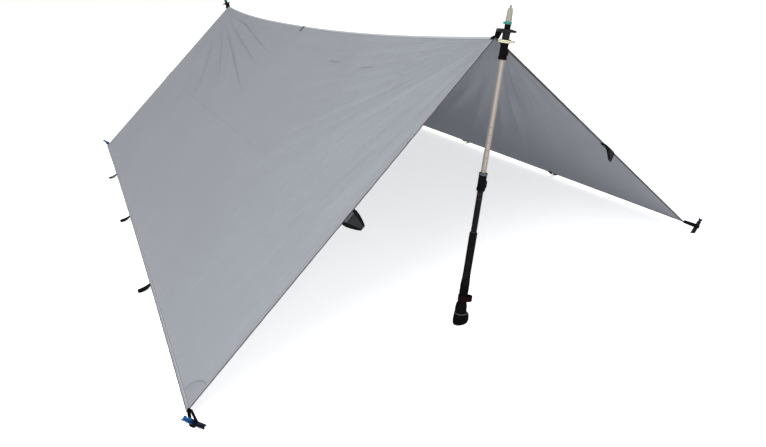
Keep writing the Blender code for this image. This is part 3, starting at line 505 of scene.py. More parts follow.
def ripples(distance, along, side):
    """Finer waves round each peak's angle. Their phase drifts along the run, so none goes on for long."""
    height = np.zeros_like(distance)
    for end in (-1, 1):
        run, angle = from_peak(distance, along, end)
        swell = smooth(run / 0.3) * (1 - smooth(run / RIPPLE_REACH)) * np.sin(2 * angle)
        for number, tall in RIPPLES:
            drift = 1.4 * np.sin(2.3 * run + number * end + side)
            patch = 0.5 + 0.5 * np.sin(4.1 * run + number * angle / 5 + 2 * side)
            height = height + tall * swell * patch * np.sin(number * angle + drift)
    return height


def beside_line(distance, along, start, end):
    """How far ahead a place is along a line and how far aside from it, and the line's length."""
    run = (end[0] - start[0], end[1] - start[1])
    length = math.hypot(*run)
    east, north = distance - start[0], along - start[1]
    return (east * run[0] + north * run[1]) / length, (east * run[1] - north * run[0]) / length, length


def crease(distance, along, start, end, depth, half_width):
    """A groove: a bell curve of the distance from the line, eased in at its start and out at its end."""
    ahead, aside, length = beside_line(distance, along, start, end)
    ease = smooth(ahead / (0.3 * length)) * smooth((length - ahead) / (0.5 * length))
    return -depth * MM * ease * np.exp(-((aside / (half_width * MM)) ** 2))


def fold_height(distance, along, side):
    """All folds together, fading out towards the seam and the hems, where the stitching holds the cloth."""
    height = swells(distance, along) + ripples(distance, along, side)
    inset = np.minimum(HALF_WIDTH - HEM_WIDTH - distance, HALF_RIDGE - HEM_WIDTH - np.abs(along))
    height = height * smooth(np.minimum(inset, distance - SEAM_WIDTH / 2) / FOLD_FADE)
    creases = sum(crease(distance, along, *line) for line in CREASES[side])
    return height + creases * smooth(inset / FOLD_FADE) * smooth((distance - SEAM_WIDTH / 2) / 0.05)


heights = [fold_height(np.array(0.3), np.array(0.8), side) / MM for side in (-1, 1)]
print("the same place on each half is lifted by", np.round(heights, 1), "mm")

# %% [markdown]
# ## The cloth's finish
# Silicone-coated nylon is a plain grey with a soft sheen. Close up it has a fine grid of stronger threads.
# From a few steps away you see how it was packed: pale lines straight across each half where it was folded
# up, painted lighter as highlight, and one long darker line down its middle, painted darker as the shade of
# its crease. Patches strengthen the corners. All of this follows the cloth, so it is drawn in the cloth's own
# UV, which is the distance from the ridge and the place along it.

# %% Patterns of the cloth
CLOTH_GREY = (0.425, 0.446, 0.484)
PACK_SPACING = 0.131
PACK_START = -1.31
LONG_FOLD = 0.648
PATCH_RADIUS = 0.085
RIPSTOP = 5 * MM
LIGHT_THROUGH = 0.48
TONE_CONTRAST = 1.6
# Creases drawn in the finish as painted shade: where each starts and ends, in metres from the ridge and along it
DRAWN_CREASES = (
    ((0.12, 1.30), (0.53, -0.18)), ((0.08, 1.30), (0.32, 0.06)), ((0.03, 1.15), (0.24, -0.02)),
    ((0.17, 1.28), (0.52, 0.40)), ((0.24, 1.28), (0.72, 0.52)), ((0.05, 1.30), (0.10, 0.50)),
    ((0.152, -0.98), (0.174, -0.86)), ((0.160, -0.70), (0.168, -0.54)),
)
DRAWN_HALF_WIDTH = 5 * MM
# Fine spokes out of the peak at each end: the end, how many there are and how far they reach in metres
SPOKES = ((1, 21, 2.1), (-1, 17, 1.6))


def packing_folds(finish, across, along):
    """Lines across the cloth at an even spacing, each wandering a little and broken in places, painted pale as
    highlight.
    """
    wander = (finish.noise(finish.point(across * 1.3, along * 9), 2.0) - 0.5) * 0.02
    lines = finish.fade(finish.wave(along - PACK_START + wander, PACK_SPACING), 0.8 * MM, 3.2 * MM)
    broken = finish.ramp(finish.noise(finish.point(across * 3, along * 7.6), 2.5, 3.0), 0.42, 0.62)
    return lines * broken


def corner_patch(finish, across, along):
    """1 inside a quarter circle round each corner of the cloth, and a second mask for its stitched edge."""
    to_edge = HALF_WIDTH - across
    to_end = HALF_RIDGE - abs(along)
    radius = (to_edge * to_edge + to_end * to_end).maths("SQRT")
    inside = finish.fade(radius, PATCH_RADIUS - 1 * MM, PATCH_RADIUS + 1 * MM)
    return inside, finish.line(radius, PATCH_RADIUS - 3 * MM, 2 * MM)


def round_peak(along, across, end):
    """Distance from a peak, and the angle round it from the ridge."""
    from_end = HALF_RIDGE - along * end
    return (across * across + from_end * from_end).maths("SQRT"), across.maths("ARCTAN2", from_end)


def fine_spokes(finish, across, along):
    """Wrinkles out of both peaks: noise of the angle, stretched outwards, and sharp lines where it is nil."""
    swell, sharp = 0.0, 0.0
    for end, count, reach in SPOKES:
        run, angle = round_peak(along, across, end)
        streaks = finish.noise(finish.point(angle * count, run * 1.3, float(end)), 1.0, 4.0, 0.6) - 0.5
        fade = finish.ramp(run, 0.2, reach, 1.0, 0.1)
        swell = swell + streaks * fade
        sharp = sharp + finish.fade(abs(streaks), 0.0, 0.035) * fade
    return swell, sharp


def drawn_line(finish, across, along, start, end):
    """1 on a line between two places of the cloth, easing to 0 aside and towards both its ends."""
    ahead, aside, length = beside_line(across, along, start, end)
    ease = finish.ramp(ahead, 0.0, 0.25 * length) * finish.fade(ahead, 0.6 * length, length)
    return finish.line(aside, 0.0, DRAWN_HALF_WIDTH) * ease


print("creases drawn in the finish:", len(DRAWN_CREASES))

# %% [markdown]
# ## The patterns together
# Each pattern is a mask from 0 to 1. It makes the grey a little lighter or darker, and the same mask raises
# or lowers the surface, so that a crease is seen in both. On the folds, creases and wrinkles, the lighter and
# darker grey is painted highlight and painted shade. Some light also comes through the thin cloth.

# %% Cloth finish
def cloth_finish(name):
    """Grey nylon with mottling, corner patches, ripstop threads, and painted light and shade on packing folds and
    wrinkles.
    """
    finish = Finish(name, Sheen_Weight=0.15, Specular_IOR_Level=0.3)
    uv, across, along = finish.flat_place()
    folds = packing_folds(finish, across, along)
    stretched = finish.point(across * 0.2, along)
    wander = (finish.noise(stretched, 5.0, 3.0) - 0.5) * 0.02
    gaps = finish.ramp(finish.noise(stretched, 8.0, 3.0), 0.36, 0.56, 0.25, 1.0)
    fading = finish.fade(abs(along - 0.25), 0.5, 1.2)
    long_fold = finish.line(across + wander, LONG_FOLD, 3.5 * MM) * gaps * fading
    swell, sharp = fine_spokes(finish, across, along)
    creases = sum(drawn_line(finish, across, along, *line) for line in DRAWN_CREASES)
    patch, stitches = corner_patch(finish, across, along)
    mottle = finish.noise(uv, 2.2, 4.0, 0.6) - 0.5
    flecks = finish.noise(uv, 38.0, 3.0, 0.6) - 0.5
    threads = finish.fade(finish.wave(across, RIPSTOP), 0.0, 0.6 * MM)
    threads = threads + finish.fade(finish.wave(along, RIPSTOP), 0.0, 0.6 * MM)
    # Painted highlight on the packing folds; painted light and shade on the wrinkles, long fold and drawn creases.
    tone = 1 + mottle * 0.09 + flecks * 0.07 + folds * 0.09 - long_fold * 0.15 + swell * 0.13
    tone = tone - sharp * 0.04 - creases * 0.15 - patch * 0.05 - stitches * 0.35 - threads * 0.015
    shade = finish.shade(CLOTH_GREY, 1 + (tone - 1) * TONE_CONTRAST)
    finish.paint(Base_Color=shade, Roughness=0.62 + flecks * 0.15 - patch * 0.08)
    wrinkles = finish.noise(uv, 26.0, 4.0, 0.62)
    height = wrinkles * 0.24 + swell * 1.0 - sharp * 0.08 - creases * 0.30 + folds * 0.08 - long_fold * 0.12
    finish.relief(height + threads * 0.004 + patch * 0.03 - stitches * 0.03, 12 * MM, 0.55)
    finish.let_light_through(CLOTH_GREY, LIGHT_THROUGH)
    return finish.owner


CLOTH = cloth_finish("coated_nylon")
print("cloth finish has", len(CLOTH.node_tree.nodes), "nodes")

# %% [markdown]
# ## The two panels
# Each half of the tarp is one unbroken sheet from the ridge to its edge. The grid is finer near the ridge,
# where the creases are, and a Solidify modifier gives it a thin wall, so that it has a face on both sides.

# %% Panels
CLOTH_THICKNESS = 0.6 * MM
PANEL_COLUMNS = 150
PANEL_ROWS = 318
EDGE_TUCK = 4 * MM


def add_wall(piece, thickness):
    """A modifier that gives a sheet its thickness, half of it on each side."""
    wall = piece.modifiers.new("wall", "SOLIDIFY")
    wall.thickness = thickness
    wall.offset = 0


def make_panel(name, side):
    """Points of the cloth lifted by its folds. Columns crowd towards the ridge by a power law."""
    distance, along = np.meshgrid(
        np.linspace(0, 1, PANEL_COLUMNS) ** 1.25 * (HALF_WIDTH - EDGE_TUCK),
        np.linspace(-HALF_RIDGE + EDGE_TUCK, HALF_RIDGE - EDGE_TUCK, PANEL_ROWS),
    )
    height = fold_height(distance, along, side)
    uv = np.stack([distance, along], -1)
    panel = grid_piece(name + "_cloth", on_cloth(side * distance, along, height), uv, CLOTH, flip=side > 0)
    add_wall(panel, CLOTH_THICKNESS)
    print(name, "panel:", len(panel.data.polygons), "faces, highest fold", round(height.max() / MM, 1), "mm")
    return stand_in(panel, "canopy", name + "_panel", "cloth")


SIDES = {"left": -1, "right": 1}
ENDS = {"front": -1, "rear": 1}
panels = [make_panel(name, side) for name, side in SIDES.items()]

# %% [markdown]
# ## Hems and the ridge seam
# The edges are folded over and stitched twice, with a dark tape inside. A hem is made as a flat bar carried
# along the edge: its section is a rounded rectangle, and it puckers a little between stitches. The ridge seam
# is the same bar carried along the ridge. Its UV runs along the seam and then round the section, which lets
# one finish colour the top, the edge and the underside.

# %% Section of a flat bar
SECTION_POINTS = 28


def flat_section(width, thickness, points=SECTION_POINTS):
    """A rounded rectangle from powers of cosine and sine, from its inner edge over the top and back below."""
    turn = math.pi - np.arange(points) * math.tau / points
    wide = np.sign(np.cos(turn)) * np.abs(np.cos(turn)) ** 0.45
    high = np.sign(np.sin(turn)) * np.abs(np.sin(turn)) ** 0.6
    return np.stack([wide * width / 2, high * thickness / 2], -1)


def section_run(section):
    """Distance round a closed section from its first point, with the whole way round at the end."""
    steps = np.linalg.norm(np.roll(section, -1, 0) - section, axis=1)
    return np.concatenate([[0.0], np.cumsum(steps)])


def with_end_caps(points, uv):
    """Close a tube of sections by drawing its first and last rows together at their middles."""
    first = np.repeat(points[:1].mean(1, keepdims=True), points.shape[1], 1)
    last = np.repeat(points[-1:].mean(1, keepdims=True), points.shape[1], 1)
    return np.concatenate([first, points, last]), np.concatenate([uv[:1], uv, uv[-1:]])


print("a hem is", round(section_run(flat_section(HEM_WIDTH, 2 * MM))[-1] / MM, 1), "mm round")

# %% [markdown]
# ## The hems' finish
# The stitches are short dashes on two lines. Each line sits in a shallow groove, painted darker than the thread
# itself as the groove's shade. Where the dark tape looks out, a mask of the way round the section brings it in.

# %% Hem and seam finishes
HEM_DARK = (0.048, 0.038, 0.050)
DARK_EDGE = 4 * MM
STITCH_LENGTH = 3.2 * MM
STITCH_INSET = 2.2 * MM
HEM_WEAVE = 0.9 * MM
PUCKER_LENGTH = 9 * MM


def stitch_row(finish, along, aside, place):
    """Short dashes along a line: 1 on the thread, 0 between stitches."""
    from_middle = finish.wave(along, STITCH_LENGTH)
    dash = finish.fade(from_middle, 0.25 * STITCH_LENGTH, 0.35 * STITCH_LENGTH)
    return finish.line(aside, place, 0.6 * MM) * dash


def hem_finish(name, width, dark_under):
    """Grey on top, two stitch lines with painted groove shade, dark tape over the edge and below where the real
    hem shows it.
    """
    finish = Finish(name, Specular_IOR_Level=0.3)
    uv, along, round_way = finish.flat_place()
    under = finish.ramp(round_way, width - DARK_EDGE, width - DARK_EDGE + 0.8 * MM)
    inner = width - 3 * STITCH_INSET
    outer_row = stitch_row(finish, along, round_way, STITCH_INSET)
    stitches = outer_row + stitch_row(finish, along, round_way, inner)
    shaded_grooves = finish.line(round_way, STITCH_INSET, 2.2 * MM) + finish.line(round_way, inner, 1.8 * MM)
    mottle = finish.noise(uv, 60.0, 3.0) - 0.5
    weave = finish.wave(along, HEM_WEAVE) + finish.wave(round_way, HEM_WEAVE)
    # Beside each stitch line the groove is painted darker as shade.
    top = finish.shade(CLOTH_GREY, 0.86 + mottle * 0.2 - shaded_grooves * 0.62 - stitches * 0.1)
    dark = finish.colours(finish.ramp(mottle, -0.2, 0.2), HEM_DARK, [1.5 * value for value in HEM_DARK])
    finish.paint(Base_Color=finish.colours(under * dark_under, top, dark), Roughness=0.65 + mottle * 0.2)
    pucker = finish.wave(along, PUCKER_LENGTH) * (1 / PUCKER_LENGTH)
    return finish.relief(pucker * 0.5 + stitches * 0.6 - shaded_grooves * 0.5 + weave * 150, 0.5 * MM, 0.6)


HEM = hem_finish("hem_tape", HEM_WIDTH, 1.0)
SEAM = hem_finish("felled_seam", SEAM_WIDTH, 0.0)
print("nodes of the hem's finish:", len(HEM.node_tree.nodes))

# %% [markdown]
# ## Bars along the edges
# Each hem follows its edge on the unfolded cloth, where the stitching holds it. Stitching also draws an edge
# in a little, so small uneven waves run along the hem.

# %% Hems and seam
HEM_THICKNESS = 2.0 * MM
PUCKER = 0.35 * MM
HEM_STEP = 12 * MM
HEM_SECTION = flat_section(HEM_WIDTH, HEM_THICKNESS)
SEAM_SECTION = flat_section(SEAM_WIDTH, HEM_THICKNESS)


def pucker(line, number):
    """Small uneven waves: two sines whose lengths don't agree."""
    return PUCKER * (np.sin(line * 96 + number) + 0.6 * np.sin(line * 157 + 2.3 * number))


def hem_place(half, line, number):
    """Distance of each point of a hem's section from the middle of the tarp, at places along the edge."""
    return half - HEM_WIDTH / 2 + HEM_SECTION[:, 0] + pucker(line, number)


def bar_on_cloth(node, section, across, along, finish):
    """Carry a flat section along a line of the cloth. across and along give each section point's place."""
    points = on_cloth(across, along, section[:, 1])
    points, uv = with_end_caps(points, uv_grid(run_length(points), section_run(section)))
    return stand_in(grid_piece(node + "_fold", points, uv, finish, columns_close=True), "canopy", node)


lengthwise = np.arange(-HALF_RIDGE + HEM_WIDTH, HALF_RIDGE - HEM_WIDTH, HEM_STEP)[:, None]
crosswise = np.arange(-HALF_WIDTH, HALF_WIDTH + HEM_STEP / 2, HEM_STEP)[:, None]
hems = []
for name, side in SIDES.items():
    across = side * hem_place(HALF_WIDTH, lengthwise, side)
    hems.append(bar_on_cloth(name + "_hem", HEM_SECTION, across, lengthwise, HEM))
for name, end in ENDS.items():
    along = end * hem_place(HALF_RIDGE, crosswise, 2 * end)
    hems.append(bar_on_cloth(name + "_hem", HEM_SECTION, crosswise, along, HEM))
hems.append(bar_on_cloth("ridge_seam", SEAM_SECTION, SEAM_SECTION[:, 0], lengthwise, SEAM))
print("hems and seam:", [piece.name for piece in hems])

# %% [markdown]
# ## Webbing
# Every tie-out, loop and strap is nylon tape. A tape is a thin rounded section carried along a path, with a
# direction across it. Its weave is made of ribs that slant one way on one half and the other way on the
# other, as in a herringbone, and a soft noise makes some of its threads paler, as if worn.

# %% Webbing finish
WEBBING_BLACK = (0.0045, 0.004, 0.005)
RIB = 1.1 * MM


def webbing_finish(name, colour):
    """Herringbone ribs from distances along and across the tape, with paler, worn threads here and there."""
    finish = Finish(name, Specular_IOR_Level=0.01)
    uv, along, aside = finish.flat_place()
    ribs = finish.ribs(along + abs(aside) * 0.6, RIB)
    yarns = finish.ribs(aside, RIB)
    worn = finish.ramp(finish.noise(uv, 240.0, 3.0, 0.7), 0.5, 0.75)
    pale = [3.0 * value + 0.003 for value in colour]
    shade = finish.colours(worn * 0.5 + ribs * 0.35, colour, pale)
    finish.paint(Base_Color=shade, Roughness=0.9 - worn * 0.2)
    return finish.relief(ribs * 0.7 + yarns * 0.3, 0.35 * MM, 0.8)


WEBBING = webbing_finish("black_webbing", WEBBING_BLACK)
WRIST_WEBBING = webbing_finish("dark_red_webbing", (0.006, 0.0022, 0.0025))
print("webbings:", WEBBING.name, "and", WRIST_WEBBING.name)

# %% [markdown]
# ## A tape along a path
# One function makes every tape. At each point of the path it needs two directions: the way across the tape,
# and the thin way, which is square to it and to the path. A closed path joins its end to its start.

# %% Tape
TAPE_THICKNESS = 1.6 * MM
TAPE_POINTS = 16


def tape(name, path, side, width, finish, body="canopy", node=None, closed=False):
    """Carry a flat section along a path. Its wide way is side, its thin way side crossed with the path."""
    width = np.broadcast_to(width, path.shape[:1])
    ahead = unit(np.roll(path, -1, 0) - np.roll(path, 1, 0) if closed else np.gradient(path, axis=0))
    side = unit(side - ahead * (side * ahead).sum(-1, keepdims=True))
    section = flat_section(1.0, TAPE_THICKNESS, TAPE_POINTS)
    wide = (width[:, None] * section[:, 0])[..., None]
    points = path[:, None] + side[:, None] * wide + np.cross(side, ahead)[:, None] * section[:, 1:]
    whole = np.concatenate([path, path[:1]]) if closed else path
    uv = uv_grid(run_length(whole[:, None]), np.append(section[:, 0], section[0, 0]) * width.mean())
    if not closed:
        points, uv = with_end_caps(points, uv)
    piece = grid_piece(name + "_tape", points, uv, finish, rows_close=closed, columns_close=True)
    return stand_in(piece, body, node or name, "webbing")


print("a tape's section has", TAPE_POINTS, "points and is", TAPE_THICKNESS / MM, "mm thick")

# %% [markdown]
# ## Tie-outs
# Each tie-out is a tape folded back on itself, with both ends sewn under the hem. Seen from its side it is a
# drop: a sine for the bulge, narrowed towards the hem. The ones on the front and rear hems taper from a wide
# foot to a narrow tip and droop. The ones on the sides widen a little towards the tip, and bend up from the
# slope of the cloth to lie level on the ground.

# %% Gusset finish and shapes of the tie-outs
END_REACH = 44 * MM
DROP_POINTS = 44
DROP_BULGE = 0.59
GUSSET_GREYS = (0.022, 0.022, 0.025), (0.085, 0.09, 0.094)


def gusset_finish(name, run, half_width):
    """Dark cloth, a grey foot and black borders: masks of the distance from either end and from the sides."""
    finish = Finish(name, Specular_IOR_Level=0.05)
    uv, along, aside = finish.flat_place()
    from_root = along.maths("MINIMUM", run - along)
    foot = finish.fade(from_root, 24 * MM, 27 * MM)
    border = finish.ramp(abs(aside), 0.62 * half_width, 0.70 * half_width)
    bar = finish.line(from_root, 30 * MM, 2.5 * MM) * finish.fade(abs(aside), 5 * MM, 6 * MM)
    weave = finish.ribs(along, RIB)
    inner = finish.colours(foot, *GUSSET_GREYS)
    colour = finish.colours((border + bar).maths("MINIMUM", 1.0), inner, (0.004, 0.004, 0.0045))
    finish.paint(Base_Color=colour, Roughness=0.9 - weave * 0.1)
    return finish.relief(weave * 0.5 - bar * 0.5, 0.3 * MM, 0.6)


GUSSET = gusset_finish("tie_out_gusset", 2 * (END_REACH + HEM_WIDTH), 19 * MM)
SIDE_LOOP = {"reach": 46 * MM, "rise": 18 * MM, "fullness": 2, "finish": WEBBING}
# Each side tie-out lies its own way: the widths at its foot and its tip, and its height, in mm
SIDE_SHAPES = {"front": (20, 24, 9), "middle": (15, 30, 9), "rear": (18, 20, 9)}
END_LOOP = {"base": 54 * MM, "tip": 14 * MM, "reach": END_REACH, "rise": -30 * MM, "height": 13 * MM,
            "fullness": 1.9, "finish": GUSSET}
HANGING_LOOP = END_LOOP | {"reach": 36 * MM, "rise": -46 * MM}
UNDER_HEM = -(HEM_THICKNESS / 2 + 0.3 * MM + TAPE_THICKNESS)
print("an end tie-out reaches", END_LOOP["reach"] / MM, "mm out and is", END_LOOP["base"] / MM, "mm wide")

# %% [markdown]
# ## The path of a tie-out
# The frame of an edge gives three directions: along it, straight out of it and off the cloth. The drop is
# laid out in the last two, and its two ends go in under the hem.

# %% Tie-outs
def edge_frame(edge, position, lift):
    """The middle of a tie-out on an edge, with unit vectors along the edge, straight out of it and off it."""
    across, along, way = {
        "left": (-HALF_WIDTH, position, (-1, 0)),
        "right": (HALF_WIDTH, position, (1, 0)),
        "front": (position, -HALF_RIDGE, (0, -1)),
        "rear": (position, HALF_RIDGE, (0, 1)),
    }[edge]
    step = 1 * MM
    here = on_cloth(across, along)
    out = unit(here - on_cloth(across - step * way[0], along - step * way[1]))
    off = cloth_out(np.array(across), np.array(along))
    return here + off * lift, np.cross(out, off), out, off


def drop_path(reach, height):
    """A drop seen from its side: out by a cosine, up and down by a sine narrowed towards the root."""
    turn = np.linspace(0, math.tau, DROP_POINTS)
    return reach * (1 - np.cos(turn)) / 2, -DROP_BULGE * height * np.sin(turn) * np.sin(turn / 2)


def make_tie_out(edge, place, position, shape):
    """A folded tape from inside the hem, round its drop and back. It droops or rises by a square law."""
    centre, along_edge, out_way, off_way = edge_frame(edge, position, UNDER_HEM)
    half = TAPE_THICKNESS / 2
    out, up = drop_path(shape["reach"] - half, shape["height"] - TAPE_THICKNESS)
    leaf = np.where(np.arange(DROP_POINTS) < DROP_POINTS / 2, half, -half)
    up = np.pad(leaf * (1 - out / shape["reach"]) - up, 1, constant_values=(half, -half))
    out = np.pad(out, 1, constant_values=-HEM_WIDTH)
    share = np.clip(out, 0, None) / shape["reach"]
    lift = up + shape["rise"] * share**2
    path = centre + out[:, None] * out_way + lift[:, None] * off_way
    width = shape["base"] + (shape["tip"] - shape["base"]) * share ** shape["fullness"]
    return tape(edge + "_tie_out_" + place, path, along_edge, width, shape["finish"])


tie_outs = [make_tie_out(edge, place, side * HALF_WIDTH / 2, shape) for edge in ENDS
            for (place, side), shape in zip(SIDES.items(), (END_LOOP, HANGING_LOOP))]
for place, end in (("front", -1), ("middle", 0), ("rear", 1)):
    shape = SIDE_LOOP | dict(zip(("base", "tip", "height"), np.multiply(SIDE_SHAPES[place], MM)))
    tie_outs += [make_tie_out(edge, place, end * HALF_RIDGE / 2, shape) for edge in SIDES]
print("tie-outs made:", len(tie_outs))

# %% [markdown]
# ## Copies of rigid parts
# Stakes, rings and locks already have the right shape in the CAD model. Each gets a copy whose facets are
# merged where they lie flat, with a small bevel on its edges, since a real edge always catches some light.

# %% Copies
COPY_DOUBLES = 0.01 * MM
FLAT_ANGLE = math.radians(1)


def rounded_copy(node, body, finish, width, slot):
    """A merged copy of a CAD node's mesh with a small bevel on its edges, which stands for the node."""
    mesh = frame["nodes"][node].data.copy()
    mesh.materials.clear()
    piece = smooth_piece(node + "_finished", mesh, finish, COPY_DOUBLES, FLAT_ANGLE)
    bevel = piece.modifiers.new("edges", "BEVEL")
    bevel.width = width
    bevel.segments = 2
    bevel.limit_method = "ANGLE"
    bevel.angle_limit = SMOOTH_ANGLE
    return stand_in(piece, body, node, slot)


print("points within", COPY_DOUBLES / MM, "mm become one in a copy")

# %% [markdown]
# ## Metal
# Drawn metal has fine streaks along its length, so the noise for them is stretched. A second noise scuffs it.
# The stakes are blue anodised and darker towards the ground. The front right stake is painted dark nearly
# all over as shade, and the rear stakes a lighter blue as painted light.

# %% Metal finishes and stakes
STREAKS = (400.0, 400.0, 12.0)
STAKE_NAVY = (0.004, 0.022, 0.085)


def metal_finish(name, colour, roughness, metallic, wear=0.25, gloss=0.5, marks=None):
    """Anodised metal: fine streaks along the piece, uneven gloss, paler scuffs, and marks if given."""
    finish = Finish(name, Metallic=metallic, Specular_IOR_Level=gloss)
    place = finish.place("Object")
    stretched = finish.node("ShaderNodeMapping", inputs={"Vector": place, "Scale": STREAKS})
    grain = finish.noise(stretched, 1.0, 3.0) - 0.5
    scuff = finish.ramp(finish.noise(place, 90.0, 5.0, 0.7), 0.58, 0.72)
    pale = [min(1.0, value * 1.7 + 0.03) for value in colour]
    base = finish.colours(scuff * wear + (grain + 0.5) * 0.08, colour, pale)
    finish.paint(Base_Color=marks(finish, base) if marks else base)
    finish.paint(Roughness=roughness + grain * 0.15 + scuff * 0.15)
    return finish.relief(grain, 0.05 * MM, 0.4)


def stake_finish(name, bright_from, blue):
    """Anodised metal, dark towards the ground and blue from a height upwards; its settings also paint shade and
    light.
    """
    finish = Finish(name, Metallic=0.5, Specular_IOR_Level=0.3)
    place = finish.place("Object")
    height = finish.parts(place)[2] - GROUND
    grain = finish.noise(place, 220.0, 3.0) - 0.5
    navy_from = bright_from - 0.021
    navy = finish.ramp(height + grain * 0.02, navy_from, navy_from + 0.025)
    dark = finish.colours(navy, (0.003, 0.0035, 0.006), STAKE_NAVY)
    bright = finish.ramp(height + grain * 0.01, bright_from, bright_from + 0.020)
    finish.paint(Base_Color=finish.colours(bright, dark, blue), Roughness=0.42 + grain * 0.2)
    return finish.relief(grain, 0.08 * MM, 0.5)


BLUE_METAL = stake_finish("blue_anodised", 0.026, (0.006, 0.090, 0.24))
# The rear stakes' copy is painted light: a lighter blue, bright from 8 mm up.
LIT_STAKE_METAL = stake_finish("bright_blue_anodised", 0.008, (0.008, 0.110, 0.40))
# The front right stake's copy is painted shade: navy, and dark up to 60 mm from the ground.
SHADED_STAKE_METAL = stake_finish("scuffed_blue_anodised", 0.060, STAKE_NAVY)
STEEL = metal_finish("bright_steel", (0.52, 0.52, 0.52), 0.28, 1.0)
# Each corner's side and end, and the finish of its stake
CORNERS = {
    "front_left": (-1, -1, BLUE_METAL),
    "front_right": (1, -1, SHADED_STAKE_METAL),
    "rear_left": (-1, 1, LIT_STAKE_METAL),
    "rear_right": (1, 1, LIT_STAKE_METAL),
}
for corner, (side, end, metal) in CORNERS.items():
    rounded_copy(corner + "_stake", corner + "_stake", metal, 0.4 * MM, "blue_aluminium")
print("stakes:", {corner: metal.name for corner, (side, end, metal) in CORNERS.items()})

# %% [markdown]
# ## Stake loops
# At each corner a band of tape stands on its edge round the stake. Seen from above its path is a drop: wide
# at the stake and narrow at the corner, where both its ends are sewn on.

# %% Stake loops
STAKE_LOOP_REACH = 56 * MM
STAKE_LOOP_INSET = 11 * MM
STAKE_LOOP_TAPE = 12 * MM
STAKE_LOOP_RADIUS = 9.4 * MM
STAKE_LOOP_ROOT = 3.5 * MM
STAKE_LOOP_POINTS = 72
STAKE_LEAN = math.atan2(FRONT_PEAK - CORNER_HEIGHT, CORNER_REACH)


def make_stake_loop(name, side, end):
    """A drop: a half circle round the stake, a tighter one at the corner and straight runs between."""
    corner = on_cloth(side * (HALF_WIDTH - STAKE_LOOP_INSET), end * HALF_RIDGE)
    up = np.array([side * math.sin(STAKE_LEAN), 0.0, math.cos(STAKE_LEAN)])
    across = np.array([math.cos(STAKE_LEAN), 0.0, -side * math.sin(STAKE_LEAN)])
    out = np.array([0.0, end, 0.0])
    turn = np.linspace(0, math.tau, STAKE_LOOP_POINTS, endpoint=False)
    at_stake = np.sin(turn) > 0
    centre = np.where(at_stake, STAKE_LOOP_REACH, STAKE_LOOP_ROOT + 1.1 * MM)
    radius = np.where(at_stake, STAKE_LOOP_RADIUS, STAKE_LOOP_ROOT)
    aside, ahead = radius * np.cos(turn), centre + radius * np.sin(turn)
    path = corner + aside[:, None] * across + ahead[:, None] * out
    return tape(name + "_stake_loop", path, up, STAKE_LOOP_TAPE, WEBBING, closed=True)


stake_loops = [make_stake_loop(corner, side, end) for corner, (side, end, metal) in CORNERS.items()]
print("stake loops:", len(stake_loops), "leaning", round(math.degrees(STAKE_LEAN), 1), "degrees")

# %% [markdown]
# ## The poles
# A trekking pole is three tubes that slide into each other, each held by a lever lock. It stands upside down
# here, so its tip and basket are at the top and its handle is on the ground. Nearly every part of it was
# turned or extruded, so it is made as a profile of radius and height turned round the pole's axis.

# %% Turned pieces
def pole_frame(end):
    """Foot of a pole and its unit vectors: x leaning away from the ridge, y level and z up the pole."""
    slide = next(joint for joint in frame["joints"] if joint["name"] == end + "_lower_section_slide")
    up = -np.array(slide["axis"])
    out = np.array([0.0, -ENDS[end], 0.0])
    return STAND[end + "_pole_foot"], unit(np.cross(out, up)), out, up


POLE_FRAMES = {end: pole_frame(end) for end in ENDS}
POLE_LENGTH = 0.960
POLE_LENGTHS = {"front": POLE_LENGTH}
POLE_LENGTHS["rear"] = POLE_LENGTH + (REAR_PEAK - FRONT_PEAK) / POLE_FRAMES["front"][3][2]


def along_pole(end, points):
    """Points in a pole's own frame brought into the model's."""
    foot, x, y, z = POLE_FRAMES[end]
    return foot + points[..., :1] * x + points[..., 1:2] * y + points[..., 2:] * z


def round_pole(end, radius, turn, height):
    """Points at a radius, an angle and a height of a pole: cosine and sine of the angle times the radius."""
    x, y, z = np.broadcast_arrays(radius * np.cos(turn), radius * np.sin(turn), height)
    return along_pole(end, np.stack([x, y, z], -1))


def rounded_profile(corners, radius, steps=3, most=0.45):
    """An open profile with each inner corner cut by a curve, which takes at most a share of either side."""
    corners = np.array(corners, float)
    here = corners[1:-1, None]
    to_sides = [corners[:-2, None] - here, corners[2:, None] - here]
    room = [np.linalg.norm(side, axis=-1, keepdims=True) * most for side in to_sides]
    cut = np.minimum(radius, np.minimum(*room))
    start, stop = [here + unit(side) * cut for side in to_sides]
    t = np.linspace(0, 1, steps)[:, None]
    curve = (1 - t) ** 2 * start + 2 * t * (1 - t) * here + t * t * stop
    return np.concatenate([corners[:1], curve.reshape(-1, 2), corners[-1:]])


def turned(name, end, profile, finish, body, node, slot, sides=64, closed=False, rounding=0.4 * MM):
    """Turn a profile of (radius, height), listed down its outer side, round the pole's axis."""
    profile = rounded_profile(profile, rounding)
    radius, height = profile[:, :1], profile[:, 1:]
    points = round_pole(end, radius, np.arange(sides) * math.tau / sides, height)
    whole = np.concatenate([profile, profile[:1]]) if closed else profile
    uv = uv_grid(run_length(whole[:, None]), np.linspace(0, math.tau * radius.max(), sides + 1))
    piece = grid_piece(name, points, uv, finish, rows_close=closed, columns_close=True)
    return stand_in(piece, body, node, slot)


print("poles in metres:", {end: round(length, 3) for end, length in POLE_LENGTHS.items()})

# %% [markdown]
# ## Finishes of the poles
# The thin tubes are anodised a warm pale grey, with dark marks for setting the length on the middle one. The
# thick tube is black. The cone at the tip is a beige moulding, the locks, baskets and handles are black
# nylon with a fine spark-eroded texture, and the long grip is closed-cell foam.

# %% Pole finishes
TUBE_BEIGE = (0.245, 0.218, 0.192)


WORN_GREY = (0.10, 0.10, 0.11)
WORN_HEIGHT = 0.0355
FOAM_BLACKS = (0.003, 0.003, 0.003), (0.010, 0.010, 0.0105)


